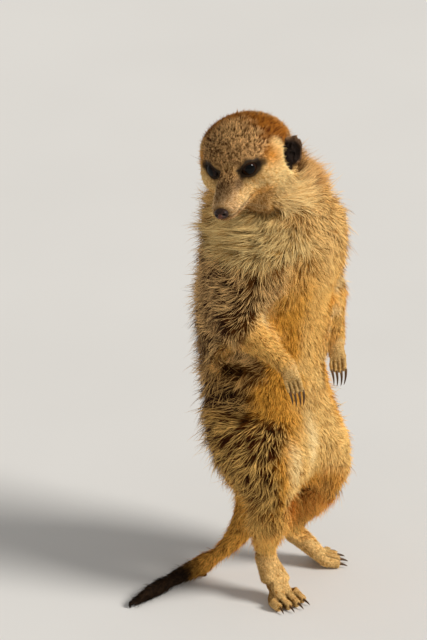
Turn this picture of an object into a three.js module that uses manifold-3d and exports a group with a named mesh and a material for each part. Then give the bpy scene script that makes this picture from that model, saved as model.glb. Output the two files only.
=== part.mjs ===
// A meerkat standing upright on its hind feet, propped on its tail, looking over its right shoulder.
// Millimetres, +Z up. It faces -Y and its left side is +X. The solids are the outline of its coat.
// Each part of the body is a smooth distance field, meshed by marching cubes and parted by flat cuts.
import * as THREE from "three";
import { MarchingCubes } from "three/addons/objects/MarchingCubes.js";
import { mergeVertices } from "three/addons/utils/BufferGeometryUtils.js";
import Module from "manifold-3d";

const wasm = await Module();
wasm.setup();

// ---- Driving sizes -------------------------------------------------------------------------------

const GAP = 0.4; // between neighbouring solids
const GRID = 64; // cells along each side of a meshing cube
const WALL = 3.5; // cells of that cube, inwards from its faces, that close the surface off
const MOST_TRIANGLES = 40000; // that one meshing may make
const REACH = 600; // longer than the whole animal
const ROOM = 1.7; // that the trunk leaves round each forearm, hand and shin

// The size of a meshing cell on each part.
const CELL = {
  ear: 3.1, head: 7.4, muzzle: 5.6, neck: 10.5, trunk: 13.5, limbRoot: 9.4,
  forearm: 6.6, hand: 4.5, shin: 7.8, foot: 5.2, rump: 8.8, tail: 5.8, tailTip: 4.8,
};

// How softly neighbouring shapes run into each other.
const BLEND = { trunk: 14, head: 10, face: 7, hollow: 4, thigh: 6, leg: 4, arm: 3, foot: 3 };

const BODY_WIDTH = 82; // across the widest of the coat, at the flanks
const SHOULDER_HEIGHT = 228;
const HIP_HEIGHT = 101;

const HEAD = {
  centre: [-23.6, 22.9, 291.5], // middle of the brain case
  turn: 77, // degrees to its right, from straight ahead
  drop: 5, // degrees of muzzle below level
  tilt: 12.5, // degrees of lean, left ear up
  eye: [20.5, 10, -1], // forward, left, up from the centre
  eyeRadius: 5.8,
  noseTip: [51, 0, -15.5],
  ear: [-10.5, 27.2, -8],
  face: 14, // where the muzzle and cheeks part from the brain case, forward
};

const V = (x, y, z) => new THREE.Vector3(x, y, z);
const DEGREE = Math.PI / 180;
const SIDES = { right: -1, left: 1 };

// ---- Distance fields -----------------------------------------------------------------------------

// A rounded cone from a to b, with a radius at each end.
function cone(a, b, ra, rb) {
  const axis = b.clone().sub(a);
  const length2 = axis.lengthSq();
  return (p) => {
    const t = THREE.MathUtils.clamp(p.clone().sub(a).dot(axis) / length2, 0, 1);
    return p.distanceTo(a.clone().addScaledVector(axis, t)) - THREE.MathUtils.lerp(ra, rb, t);
  };
}

// A chain of rounded cones through points, with a radius at each.
function chain(points, radii) {
  const links = points.slice(1).map((b, i) => cone(points[i], b, radii[i], radii[i + 1]));
  return (p) => Math.min(...links.map((link) => link(p)));
}

// A chain that follows a smooth curve through points.
function curvedChain(points, radii, steps) {
  const curve = new THREE.CatmullRomCurve3(points);
  const at = Array.from({ length: steps + 1 }, (_, i) => i / steps);
  const spans = radii.length - 1;
  const radiusAt = (t) => {
    const i = Math.min(Math.floor(t * spans), spans - 1);
    return THREE.MathUtils.lerp(radii[i], radii[i + 1], t * spans - i);
  };
  return chain(at.map((t) => curve.getPoint(t)), at.map(radiusAt));
}

function ellipsoid(centre, radii) {
  return (p) => {
    const q = p.clone().sub(centre).divide(radii);
    const k = q.length();
    const g = q.clone().divide(radii).length();
    return g > 1e-9 ? (k * (k - 1)) / g : -Math.min(radii.x, radii.y, radii.z);
  };
}

function smoothMin(a, b, k) {
  const h = Math.max(k - Math.abs(a - b), 0) / k;
  return Math.min(a, b) - (h * h * k) / 4;
}

const blend = (k, ...fields) => (p) => fields.map((f) => f(p)).reduce((a, b) => smoothMin(a, b, k));
const carve = (field, k, tool) => (p) => -smoothMin(-field(p), tool(p), k);
const grown = (field, by) => (p) => field(p) - by;
const inFrame = (field, matrix) => {
  const inverse = matrix.clone().invert();
  return (p) => field(p.clone().applyMatrix4(inverse));
};

// ---- Trunk: a stack of oval rings on an upright spine ---------------------------------------------

const RINGS = [
  // height, middle of the ring front to back, half width, half depth
  { z: 52, y: 26, width: 0.1, depth: 0.1 },
  { z: 64, y: 22, width: 0.62, depth: 0.56 },
  { z: 84, y: 18.5, width: 0.9, depth: 0.82 },
  { z: 110, y: 21, width: 0.97, depth: 0.92 },
  { z: 145, y: 24.5, width: 0.96, depth: 0.93 },
  { z: 180, y: 24.5, width: 1.0, depth: 1.0 },
  { z: 210, y: 20, width: 1.02, depth: 1.02 },
  { z: 235, y: 17, width: 0.9, depth: 0.96 },
  { z: 256, y: 18, width: 0.5, depth: 0.6 },
];

function ringAt(z) {
  const last = RINGS.length - 2;
  let i = RINGS.findIndex((ring) => ring.z > z) - 1;
  if (i < 0) i = z < RINGS[0].z ? 0 : last;
  const a = RINGS[i];
  const b = RINGS[i + 1];
  const straight = THREE.MathUtils.clamp((z - a.z) / (b.z - a.z), 0, 1);
  const t = THREE.MathUtils.lerp(straight, THREE.MathUtils.smoothstep(z, a.z, b.z), 0.4);
  const mix = (key) => THREE.MathUtils.lerp(a[key], b[key], t);
  return { y: mix("y"), width: (mix("width") * BODY_WIDTH) / 2, depth: (mix("depth") * BODY_WIDTH) / 2 };
}

function trunk(p) {
  const ring = ringAt(p.z);
  const share = Math.hypot(p.x / ring.width, (p.y - ring.y) / ring.depth);
  const outside = 0.9 * (share - 1) * Math.min(ring.width, ring.depth);
  const above = p.z - RINGS.at(-1).z;
  const below = RINGS[0].z - p.z;
  return Math.max(outside, above, below);
}

const neck = curvedChain([V(0, 17, 230), V(-4, 18, 252), V(-12, 21, 278)], [40, 34, 26.5], 4);

// ---- Head, in its own frame: forward, left, up ---------------------------------------------------

const forward = V(0, -1, 0)
  .applyAxisAngle(V(0, 0, 1), -HEAD.turn * DEGREE)
  .multiplyScalar(Math.cos(HEAD.drop * DEGREE))
  .add(V(0, 0, -Math.sin(HEAD.drop * DEGREE)));
const level = V(0, 0, 1).cross(forward).normalize();
const leftward = level.clone().applyAxisAngle(forward, HEAD.tilt * DEGREE);
const upward = forward.clone().cross(leftward);
const headFrame = new THREE.Matrix4()
  .makeBasis(forward, leftward, upward)
  .setPosition(V(...HEAD.centre));
const onHead = (point) => V(...point).applyMatrix4(headFrame);
const mirrored = ([x, y, z], side) => [x, y * side, z];

function headField() {
  const brainCase = ellipsoid(V(-3, 0, 0.5), V(26, 27.5, 19.5));
  const brow = ellipsoid(V(13, 0, 1), V(13.5, 17, 14));
  const muzzle = chain([V(15, 0, -9.5), V(33, 0, -12.5), V(49, 0, -15.5)], [15, 10.8, 5.6]);
  const jaw = chain([V(2, 0, -12), V(24, 0, -15), V(42, 0, -18)], [15, 9, 4.2]);
  const cheeks = [-1, 1].map((s) => ellipsoid(V(4, 15 * s, -10), V(18, 12, 13)));
  return blend(BLEND.face, brainCase, brow, muzzle, jaw, ...cheeks);
}
const head = inFrame(headField(), headFrame);

// The eyes and ears sit in hollows.
const sockets = [-1, 1].map((s) => ellipsoid(V(...mirrored([28, 13, -1], s)), V(7, 6, 5.2)));
const earBays = [-1, 1].map((s) => ellipsoid(V(...mirrored([-5, 31, -8], s)), V(10, 6.5, 10)));
const hollows = [...sockets, ...earBays].map((hollow) => inFrame(hollow, headFrame));

// ---- Limbs ----------------------------------------------------------------------------------------

// Joints of the right and left limbs; the two sides stand differently.
const ARMS = {
  right: {
    shoulder: V(-27, 13, SHOULDER_HEIGHT),
    elbow: V(-43, 15, 187),
    wrist: V(-38, -18, 163),
    knuckles: V(-36.5, -21, 156.5),
    tips: V(-34.5, -23, 137),
  },
  left: {
    shoulder: V(27, 10, SHOULDER_HEIGHT - 2),
    elbow: V(40, 4, 184),
    wrist: V(17.5, -18, 156),
    knuckles: V(15, -20.5, 149.5),
    tips: V(13.5, -22, 130),
  },
};
const LEGS = {
  right: {
    hip: V(-18, 17, HIP_HEIGHT),
    knee: V(-31, -4, 80),
    hock: V(-27, 6, 27),
    ball: V(-30, -8, 5),
    heading: V(-0.35, -0.94, 0),
  },
  left: {
    hip: V(18, 17, HIP_HEIGHT),
    knee: V(28.5, -8, 67),
    hock: V(16, 18, 21),
    ball: V(24, -1, 5),
    heading: V(0.75, -0.66, 0),
  },
};
const ARM_RADII = { shoulder: 19, elbow: 12.5, forearm: 10.2, wrist: 6, knuckles: 5 };
const LEG_RADII = { hip: 27, thigh: 23, knee: 13, calf: 12.2, hock: 6.4, heel: 7, ball: 6.2 };
const DIGITS = [-1.5, -0.5, 0.5, 1.5]; // four on each hand and foot, counted from its middle line
const FINGER = { spacing: 2.6, fan: 0.1, reach: 0.5, step: 0.05, radii: [1.9, 1.5] };
const TOE = { spacing: 4.4, fan: 0.14, reach: 11.5, step: 2, radii: [3.6, 2.9], height: [4, 2.4] };

const partWay = (a, b, share) => a.clone().lerp(b, share);
const upperArm = (arm) => cone(arm.shoulder, arm.elbow, ARM_RADII.shoulder, ARM_RADII.elbow);
const forearm = (arm) =>
  chain(
    [arm.elbow, partWay(arm.elbow, arm.wrist, 0.4), arm.wrist],
    [ARM_RADII.elbow, ARM_RADII.forearm, ARM_RADII.wrist],
  );
const palm = (arm) => cone(arm.wrist, arm.knuckles, ARM_RADII.wrist, ARM_RADII.knuckles);
const thigh = (leg) =>
  chain(
    [leg.hip, partWay(leg.hip, leg.knee, 0.6), leg.knee],
    [LEG_RADII.hip, LEG_RADII.thigh, LEG_RADII.knee],
  );
const shin = (leg) =>
  chain(
    [leg.knee, partWay(leg.knee, leg.hock, 0.4), leg.hock],
    [LEG_RADII.knee, LEG_RADII.calf, LEG_RADII.hock],
  );
const instep = (leg) => cone(leg.hock, leg.ball, LEG_RADII.heel, LEG_RADII.ball);

// The fingers hang from the knuckles side by side, the middle two a little longer.
function fingerBones(arm) {
  const down = arm.tips.clone().sub(arm.knuckles);
  const way = down.clone().normalize();
  const across = V(0.45, -0.85, 0.1).normalize();
  return DIGITS.map((place) => {
    const root = arm.knuckles.clone().addScaledVector(across, place * FINGER.spacing);
    const tip = root
      .clone()
      .addScaledVector(down, FINGER.reach - FINGER.step * Math.abs(place))
      .addScaledVector(across, place * FINGER.fan);
    return { root, tip, way, radii: FINGER.radii };
  });
}

// The toes fan out from the ball of the foot and come down flat.
function toeBones(leg) {
  const ahead = leg.heading.clone().normalize();
  const across = V(0, 0, 1).cross(ahead);
  return DIGITS.map((place) => {
    const root = leg.ball.clone().addScaledVector(across, place * TOE.spacing).setZ(TOE.height[0]);
    const way = ahead.clone().addScaledVector(across, place * TOE.fan).normalize();
    const reach = TOE.reach - TOE.step * Math.abs(place);
    const tip = root.clone().addScaledVector(way, reach).setZ(TOE.height[1]);
    return { root, tip, way, radii: TOE.radii };
  });
}

// ---- Tail ----------------------------------------------------------------------------------------

const TAIL = [
  V(0, 25, 78),
  V(-3, 26, 48),
  V(-10, 34, 26),
  V(-24, 46, 11),
  V(-47, 56, 6),
  V(-84, 64, 3),
];
const tail = curvedChain(TAIL, [20, 15, 11, 8.4, 6.6, 3.4], 14);

// ---- The whole trunk, with the roots of the limbs --------------------------------------------------

const arms = Object.values(ARMS);
const legs = Object.values(LEGS);
const torso = blend(BLEND.trunk, trunk, neck, ...arms.map(upperArm), ...legs.map(thigh), tail);
const wholeHead = blend(BLEND.head, head, torso);
const headAndNeck = hollows.reduce((field, hollow) => carve(field, BLEND.hollow, hollow), wholeHead);

// ---- Meshing and parting --------------------------------------------------------------------------

function solidFrom(geometry) {
  const bare = geometry.clone();
  for (const name of ["normal", "uv", "color"]) bare.deleteAttribute(name);
  const merged = mergeVertices(bare, 1e-4);
  return new wasm.Manifold(
    new wasm.Mesh({
      numProp: 3,
      vertProperties: merged.attributes.position.array,
      triVerts: new Uint32Array(merged.index.array),
    }),
  );
}

function geometryFrom(solid) {
  const mesh = solid.getMesh();
  const positions = new Float32Array(mesh.numVert * 3);
  for (let i = 0; i < mesh.numVert; i++) {
    positions.set(mesh.vertProperties.subarray(i * mesh.numProp, i * mesh.numProp + 3), i * 3);
  }
  return new THREE.BufferGeometry()
    .setAttribute("position", new THREE.BufferAttribute(positions, 3))
    .setIndex(new THREE.BufferAttribute(mesh.triVerts, 1));
}

const CLEARANCE = 0.12; // of a cell, keeps vertices off the grid's corners, where slivers form

// The surface where a field is zero, closed off at the walls of a cube of GRID cells round a centre.
function meshed(field, centre, cell) {
  const cubes = new MarchingCubes(GRID, new THREE.MeshStandardMaterial(), false, false, MOST_TRIANGLES);
  const clear = cell * CLEARANCE;
  const p = V();
  for (let k = 0, q = 0; k < GRID; k++) {
    for (let j = 0; j < GRID; j++) {
      for (let i = 0; i < GRID; i++, q++) {
        p.set(i, j, k).subScalar(GRID / 2);
        const outmost = Math.max(Math.abs(p.x), Math.abs(p.y), Math.abs(p.z));
        const wall = (outmost - GRID / 2 + WALL) * cell;
        p.multiplyScalar(cell).add(centre);
        const d = wall > 0 ? wall : field(p);
        cubes.field[q] = -(Math.sign(d) || 1) * Math.max(Math.abs(d), clear);
      }
    }
  }
  cubes.isolation = 0;
  cubes.update();
  const position = new THREE.BufferAttribute(cubes.positionArray.slice(0, cubes.count * 3), 3);
  const surface = new THREE.BufferGeometry().setAttribute("position", position);
  const scale = (cell * GRID) / 2;
  surface.applyMatrix4(new THREE.Matrix4().makeScale(scale, scale, scale).setPosition(centre));
  return solidFrom(surface);
}

// Everything on the side of a plane that its normal points to.
function halfSpace(point, normal) {
  const box = new THREE.BoxGeometry(REACH, REACH, REACH).translate(0, 0, REACH / 2 + GAP / 2);
  const turn = new THREE.Quaternion().setFromUnitVectors(V(0, 0, 1), normal.clone().normalize());
  box.applyQuaternion(turn).translate(point.x, point.y, point.z);
  return solidFrom(box);
}

const without = (solid, pieces) => pieces.reduce((kept, piece) => kept.subtract(piece), solid);

const FLOOR = [V(0, 0, -GAP / 2), V(0, 0, 1)];
const flip = ([point, normal]) => [point, normal.clone().negate()];
const between = (a, b, share) => [a.clone().lerp(b, share), b.clone().sub(a)];

// The largest body of a solid that lies inside all the cuts.
function parted(solid, cuts) {
  const cut = cuts.reduce((kept, [point, normal]) => kept.intersect(halfSpace(point, normal)), solid);
  return cut.decompose().sort((a, b) => b.volume() - a.volume())[0];
}

const NECK_CUT = [V(-10, 21, 262), V(-0.12, -0.05, 1)];
const FACE_CUT = [onHead([HEAD.face, 0, 0]), forward];
const COLLAR_CUT = [V(0, 17, 237), V(-0.12, 0, 1)];
const WAIST_CUT = [V(0, 23, 150), V(0, 0, 1)];
const RUMP_CUT = [V(-1, 29, 62), V(0.05, -0.2, 1)];
const TAIL_CUTS = [
  [V(-24, 46, 12), V(-0.85, 0.5, -0.2)],
  [V(-55, 58.5, 8), V(-1, 0.25, 0)],
];

const group = new THREE.Group();
const COAT = new THREE.MeshStandardMaterial({ color: 0xb58a52, roughness: 0.95, metalness: 0 });
const DARK_COAT = new THREE.MeshStandardMaterial({ color: 0x2b1c12, roughness: 0.9, metalness: 0 });
const EYE = new THREE.MeshStandardMaterial({ color: 0x140c08, roughness: 0.08, metalness: 0 });
const NOSE = new THREE.MeshStandardMaterial({ color: 0x3a2420, roughness: 0.45, metalness: 0 });
const CLAW = new THREE.MeshStandardMaterial({ color: 0x2a2018, roughness: 0.4, metalness: 0 });

function add(name, solid, material) {
  const mesh = new THREE.Mesh(geometryFrom(solid), material);
  mesh.name = name;
  group.add(mesh);
  return solid;
}

// ---- Head, ears, eyes and nose ---------------------------------------------------------------------

// A ball or egg shape in the head's frame.
function headBall(place, radii, faces) {
  const ball = new THREE.SphereGeometry(1, ...faces).scale(...radii).translate(...place);
  return solidFrom(ball.applyMatrix4(headFrame));
}

const NOSE_RADII = [4, 4.8, 3.8];
const BALL_FACES = { nose: [10, 6], eye: [10, 7] }; // round and from pole to pole
const EAR_GAP = GAP * 1.6;
const EAR = { width: 13, height: 20, thickness: 4, rim: 2, floor: 0.6, facing: 58 };

// The ear is a flat egg-shaped cup that opens outward and a little forward.
function earSolid(sign, extra) {
  const place = mirrored(HEAD.ear, sign);
  const turned = new THREE.Matrix4().makeRotationZ(sign * EAR.facing * DEGREE).setPosition(...place);
  const shell = ellipsoid(V(0, 0, 0), V(EAR.thickness, EAR.width / 2, EAR.height / 2));
  const bowlRadii = V(EAR.thickness - EAR.floor, EAR.width / 2 - EAR.rim, EAR.height / 2 - EAR.rim);
  const bowl = ellipsoid(V(EAR.thickness * 0.9, 0, 0), bowlRadii);
  const shape = extra > 0 ? grown(shell, extra) : carve(shell, 1, bowl);
  return meshed(inFrame(shape, headFrame.clone().multiply(turned)), onHead(place), CELL.ear);
}

const eyeRadii = (extra) => Array(3).fill(HEAD.eyeRadius + extra);
const noseRadii = (extra) => NOSE_RADII.map((radius) => radius + extra);
const sunk = [headBall(HEAD.noseTip, noseRadii(GAP), BALL_FACES.nose)];
add("nose", headBall(HEAD.noseTip, noseRadii(0), BALL_FACES.nose), NOSE);
for (const [side, sign] of Object.entries(SIDES)) {
  const eyePlace = mirrored(HEAD.eye, sign);
  sunk.push(headBall(eyePlace, eyeRadii(GAP), BALL_FACES.eye), earSolid(sign, EAR_GAP));
  add(`eye_${side}`, headBall(eyePlace, eyeRadii(0), BALL_FACES.eye), EYE);
  add(`ear_${side}`, earSolid(sign, 0), DARK_COAT);
}
function headPart(name, centre, cell, cuts) {
  const bare = without(meshed(headAndNeck, onHead(centre), cell), sunk);
  add(name, parted(bare, cuts), COAT);
}
headPart("head", [0, 0, 0], CELL.head, [NECK_CUT, flip(FACE_CUT)]);
headPart("muzzle", [34, 0, -10], CELL.muzzle, [NECK_CUT, FACE_CUT]);

// ---- Cuts that part the limbs from the trunk ---------------------------------------------------------

// Each cut is a point and a normal; the part keeps the side that the normal points to.
const ARMPIT = [31, 14, 205]; // on the left
const GROIN = [17, 10, 90];

function armCut(arm) {
  const inward = V(0, ARMPIT[1], 0);
  return [V(...ARMPIT).multiply(V(Math.sign(arm.elbow.x), 1, 1)), arm.elbow.clone().sub(inward).setZ(0)];
}

function legCut(leg) {
  const side = Math.sign(leg.knee.x);
  return [V(...GROIN).multiply(V(side, 1, 1)), V(side, -0.45, -0.25)];
}

const armTop = flip(COLLAR_CUT);

const legTop = [V(0, 0, 122), V(0, 0, -1)];
const elbowCut = (arm) => [arm.elbow.clone().add(V(0, -5, -4)), arm.wrist.clone().sub(arm.elbow)];
const wristCut = (arm) => between(arm.elbow, arm.wrist, 0.97);
const kneeCut = (leg) => [leg.knee.clone().add(V(0, 8, -9)), V(0, 0.35, -1)];
const hockCut = (leg) => between(leg.knee, leg.hock, 0.93);

function widened([point, normal]) {
  return [point.clone().addScaledVector(normal.clone().normalize(), -GAP), normal];
}

function foreMesh(arm, extra) {
  const field = blend(BLEND.arm, upperArm(arm), forearm(arm), palm(arm));
  return meshed(grown(field, extra), partWay(arm.elbow, arm.wrist, 0.6), CELL.forearm);
}

function lowerMesh(leg, extra) {
  const field = blend(BLEND.leg, thigh(leg), shin(leg), instep(leg));
  return meshed(grown(field, extra), partWay(leg.knee, leg.hock, 0.5), CELL.shin);
}

const foreRooms = arms.map((arm) => parted(foreMesh(arm, ROOM), [widened(elbowCut(arm))]));
const lowerRooms = legs.map((leg) => parted(lowerMesh(leg, ROOM), [widened(kneeCut(leg))]));

// ---- Trunk, neck and tail ----------------------------------------------------------------------------

const shoulders = arms.map((arm) => [armCut(arm), armTop, WAIST_CUT]);
const haunches = legs.map((leg) => [legCut(leg), legTop]);
const limbRoots = [...shoulders, ...haunches].map((cuts) =>
  cuts.map((cut) => halfSpace(...widened(cut))).reduce((a, b) => a.intersect(b)),
);

function trunkPart(name, centre, cuts) {
  const whole = meshed(torso, centre, CELL.trunk);
  add(name, parted(without(whole, [...limbRoots, ...foreRooms, ...lowerRooms]), cuts), COAT);
}
trunkPart("chest", V(0, 20, 195), [WAIST_CUT, flip(COLLAR_CUT)]);
trunkPart("abdomen", V(0, 20, 105), [flip(WAIST_CUT), RUMP_CUT]);

const rump = without(meshed(blend(BLEND.trunk, trunk, tail), V(-12, 40, 40), CELL.rump), lowerRooms);
const collar = meshed(headAndNeck, V(-5, 18, 252), CELL.neck);
const lowTail = meshed(tail, V(-40, 52, 12), CELL.tail);
const endOfTail = meshed(tail, V(-70, 60, 12), CELL.tailTip);
add("tail_base", parted(rump, [FLOOR, flip(RUMP_CUT), flip(TAIL_CUTS[0])]), COAT);
add("neck", parted(collar, [COLLAR_CUT, flip(NECK_CUT)]), COAT);
add("tail_middle", parted(lowTail, [FLOOR, TAIL_CUTS[0], flip(TAIL_CUTS[1])]), COAT);
add("tail_tip", parted(endOfTail, [FLOOR, TAIL_CUTS[1]]), DARK_COAT);

// ---- Arms, legs and claws ------------------------------------------------------------------------------

const DIGIT_SIDES = 5;

// A finger or toe: a closed solid of revolution from its root to its tip, round at both ends.
function digit({ root: a, tip: b, radii }) {
  const length = a.distanceTo(b);
  const cap = (centre, radius, from) =>
    [0, 1, 2].map((i) => {
      const angle = from + (i * Math.PI) / 4;
      return new THREE.Vector2(Math.cos(angle) * radius, centre + Math.sin(angle) * radius);
    });
  const outline = [...cap(0, radii[0], -Math.PI / 2), ...cap(length, radii[1], 0)];
  outline.forEach((point) => point.setX(Math.abs(point.x) < 1e-6 ? 0 : point.x));
  const shape = new THREE.LatheGeometry(outline, DIGIT_SIDES);
  const way = b.clone().sub(a).normalize();
  shape.applyQuaternion(new THREE.Quaternion().setFromUnitVectors(V(0, 1, 0), way));
  return solidFrom(shape.translate(a.x, a.y, a.z));
}

// A claw is a tapering, drooping horn: rings that shrink along an arc.
const CLAW_SIDES = 4;
const CLAW_RINGS = [1, 0.78, 0.25]; // their sizes, from the root to the end
const CLAW_WAIST = 0.55; // of its length, where it starts to droop
const CLAW_FLATNESS = 0.8; // its width over its height
function claw({ tip, way, radii }, { length, radius, droop }) {
  const root = tip.clone().addScaledVector(way, radii[1] + GAP);
  const middle = root.clone().addScaledVector(way, length * CLAW_WAIST);
  const end = root.clone().addScaledVector(way, length).add(V(0, 0, -droop));
  const curve = new THREE.QuadraticBezierCurve3(root, middle, end);
  const side = V(0, 0, 1).cross(way).normalize();
  const up = way.clone().cross(side);
  const points = CLAW_RINGS.flatMap((size, i) =>
    Array.from({ length: CLAW_SIDES }, (_, k) => {
      const angle = (k * 2 * Math.PI) / CLAW_SIDES;
      return curve.getPoint(i / (CLAW_RINGS.length - 1))
        .addScaledVector(side, Math.cos(angle) * radius * size * CLAW_FLATNESS)
        .addScaledVector(up, Math.sin(angle) * radius * size);
    }),
  );
  const index = [];
  for (let i = 0; i < CLAW_RINGS.length - 1; i++) {
    for (let k = 0; k < CLAW_SIDES; k++) {
      const a = i * CLAW_SIDES + k;
      const b = i * CLAW_SIDES + ((k + 1) % CLAW_SIDES);
      index.push(a, b, b + CLAW_SIDES, a, b + CLAW_SIDES, a + CLAW_SIDES);
    }
  }
  const last = (CLAW_RINGS.length - 1) * CLAW_SIDES;
  for (let k = 1; k < CLAW_SIDES - 1; k++) {
    index.push(0, k + 1, k, last, last + k, last + k + 1);
  }
  return solidFrom(new THREE.BufferGeometry().setFromPoints(points).setIndex(index));
}

const HAND_CLAW = { length: 8, radius: 1, droop: 0.3 };
const FOOT_CLAW = { length: 4.6, radius: 1.1, droop: 1.2 };

// Fingers or toes joined to their hand or foot, with each claw a solid of its own at the tip.
function paw(name, body, bones, clawSize, cuts) {
  const digits = bones.map(digit);
  const joined = digits.reduce((whole, piece) => whole.add(piece), body);
  add(name, parted(joined, cuts), COAT);
  bones.forEach((bone, i) => {
    add(`${name.replace("_", "_claw_")}_${i + 1}`, claw(bone, clawSize), CLAW);
  });
}

function addArm(side, arm) {
  const shoulder = without(meshed(torso, arm.shoulder, CELL.limbRoot), foreRooms);
  const upperCuts = [armCut(arm), armTop, flip(elbowCut(arm)), WAIST_CUT];
  add(`upper_arm_${side}`, parted(shoulder, upperCuts), COAT);
  add(`forearm_${side}`, parted(foreMesh(arm, 0), [elbowCut(arm), flip(wristCut(arm))]), COAT);
  const hand = meshed(blend(BLEND.arm, forearm(arm), palm(arm)), arm.knuckles, CELL.hand);
  paw(`hand_${side}`, hand, fingerBones(arm), HAND_CLAW, [wristCut(arm)]);
}

function addLeg(side, leg) {
  const hip = meshed(blend(BLEND.thigh, torso, shin(leg)), partWay(leg.hip, leg.knee, 0.5), CELL.limbRoot);
  const thighCuts = [legCut(leg), legTop, flip(kneeCut(leg))];
  add(`thigh_${side}`, parted(without(hip, foreRooms), thighCuts), COAT);
  add(`shin_${side}`, parted(lowerMesh(leg, 0), [kneeCut(leg), flip(hockCut(leg))]), COAT);
  const foot = meshed(blend(BLEND.foot, shin(leg), instep(leg)), leg.ball, CELL.foot);
  paw(`foot_${side}`, foot, toeBones(leg), FOOT_CLAW, [FLOOR, hockCut(leg)]);
}

for (const side of Object.keys(SIDES)) {
  addArm(side, ARMS[side]);
  addLeg(side, LEGS[side]);
}

// The origin is the middle of the bottom of the whole animal.
const box = new THREE.Box3().setFromObject(group);
const middle = box.getCenter(V());
group.position.set(-middle.x, -middle.y, -box.min.z);

export default group;
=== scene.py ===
"""A meerkat standing upright on its hind feet, propped on its tail, looking over its right shoulder.

Lengths are worked out in millimetres in the row frame (+Z up, facing -Y) and become metres when a
mesh is made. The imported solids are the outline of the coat: one skin is drawn a coat's depth inside
them, and tufts of fur grow from the skin back out to that outline.
"""
import math

import bmesh
import bpy
import numpy as np
from mathutils import Matrix, Vector
from mathutils.bvhtree import BVHTree


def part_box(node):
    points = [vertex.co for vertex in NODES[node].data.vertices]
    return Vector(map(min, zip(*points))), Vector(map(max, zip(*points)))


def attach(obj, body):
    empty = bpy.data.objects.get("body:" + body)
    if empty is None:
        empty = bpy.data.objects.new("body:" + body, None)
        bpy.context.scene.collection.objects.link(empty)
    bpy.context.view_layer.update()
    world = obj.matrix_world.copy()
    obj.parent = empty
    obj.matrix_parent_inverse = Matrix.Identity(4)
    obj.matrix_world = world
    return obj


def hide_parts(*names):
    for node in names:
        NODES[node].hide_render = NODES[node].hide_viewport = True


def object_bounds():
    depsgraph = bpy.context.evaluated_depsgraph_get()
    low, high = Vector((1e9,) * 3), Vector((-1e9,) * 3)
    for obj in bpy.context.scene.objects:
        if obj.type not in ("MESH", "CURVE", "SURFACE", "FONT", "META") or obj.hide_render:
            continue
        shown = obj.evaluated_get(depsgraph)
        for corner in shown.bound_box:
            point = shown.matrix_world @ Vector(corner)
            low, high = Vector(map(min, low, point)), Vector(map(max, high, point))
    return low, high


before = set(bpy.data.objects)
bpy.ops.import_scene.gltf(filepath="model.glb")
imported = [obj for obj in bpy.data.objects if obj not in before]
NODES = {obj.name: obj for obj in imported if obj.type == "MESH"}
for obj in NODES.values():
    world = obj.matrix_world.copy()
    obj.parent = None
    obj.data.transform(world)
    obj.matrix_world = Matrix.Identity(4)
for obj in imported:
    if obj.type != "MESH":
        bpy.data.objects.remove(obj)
cad_box = [list(corner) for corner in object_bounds()]

MM = 0.001
SIDES = {"right": -1, "left": 1}
DIGITS = range(1, 5)
rng = np.random.default_rng(7)


# ---- Small helpers ----

def vec(*xyz):
    return np.array(xyz, float)


def norms(v):
    return np.linalg.norm(v, axis=-1)


def unit(v):
    v = np.asarray(v, float)
    return v / np.maximum(np.linalg.norm(v, axis=-1, keepdims=True), 1e-9)


def dot(a, b):
    return (a * b).sum(-1)


def ramp(low, high, x):
    """0 before low, 1 past high, and a smooth rise between them; high may be the lower number."""
    t = np.clip((x - low) / (high - low), 0, 1)
    return t * t * (3 - 2 * t)


def mix(a, b, t):
    t = np.asarray(t)
    if np.ndim(a) > np.ndim(t) or np.ndim(b) > np.ndim(t):
        t = t[..., None]
    return a + (b - a) * t


def flatten(v, normals):
    """The part of each vector that lies along the surface."""
    return v - normals * dot(v, normals)[:, None]


def turned(v, axis, angle):
    """Vectors turned by an angle round an axis that they stand square to."""
    return v * np.cos(angle)[:, None] + np.cross(axis, v) * np.sin(angle)[:, None]


def read(items, key, width=3, kind=float):
    """One property of a mesh's points, edges or faces, a row for each."""
    values = np.empty(len(items) * width, kind)
    items.foreach_get(key, values)
    return values.reshape(-1, width)


def shade_smooth(mesh):
    mesh.polygons.foreach_set("use_smooth", np.ones(len(mesh.polygons), bool))


def add_object(name, data):
    made = bpy.data.objects.new(name, data)
    bpy.context.collection.objects.link(made)
    return made


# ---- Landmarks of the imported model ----

def middle(node):
    low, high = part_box(node)
    return np.array((low + high) / 2) / MM


def node_points(node):
    return read(NODES[node].data.vertices, "co") / MM


def way(a, b):
    return unit(middle(b) - middle(a))


EYES = {side: middle(f"eye_{side}") for side in SIDES}
EYE_RADIUS = np.ptp(np.array(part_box("eye_left")), axis=0).mean() / 2 / MM
NOSE = middle("nose")
SHOULDER = middle("upper_arm_left")[2]  # its height
NOSE_BELOW_EYES = math.atan2(14.5, 30.5)  # angle from the eyes down to the nose tip
EYE_FROM_CENTRE = vec(20.5, 0, -1)  # forward, left, up


def head_axes():
    """Forward, left and up of the head, and the middle of its brain case."""
    left = unit(EYES["left"] - EYES["right"])
    between = (EYES["left"] + EYES["right"]) / 2
    to_nose = NOSE - between
    to_nose = unit(to_nose - left * to_nose.dot(left))
    over_nose = np.cross(to_nose, left)
    forward = to_nose * math.cos(NOSE_BELOW_EYES) + over_nose * math.sin(NOSE_BELOW_EYES)
    axes = np.array([forward, left, np.cross(forward, left)])
    return axes, between - EYE_FROM_CENTRE @ axes


HEAD_AXES, HEAD_MIDDLE = head_axes()


def to_head(points):
    return (points - HEAD_MIDDLE) @ HEAD_AXES.T


def from_head(points):
    return points @ HEAD_AXES + HEAD_MIDDLE


def mirrored(h):
    """Head coordinates folded over to the left side."""
    return np.stack([h[:, 0], np.abs(h[:, 1]), h[:, 2]], axis=1)


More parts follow.
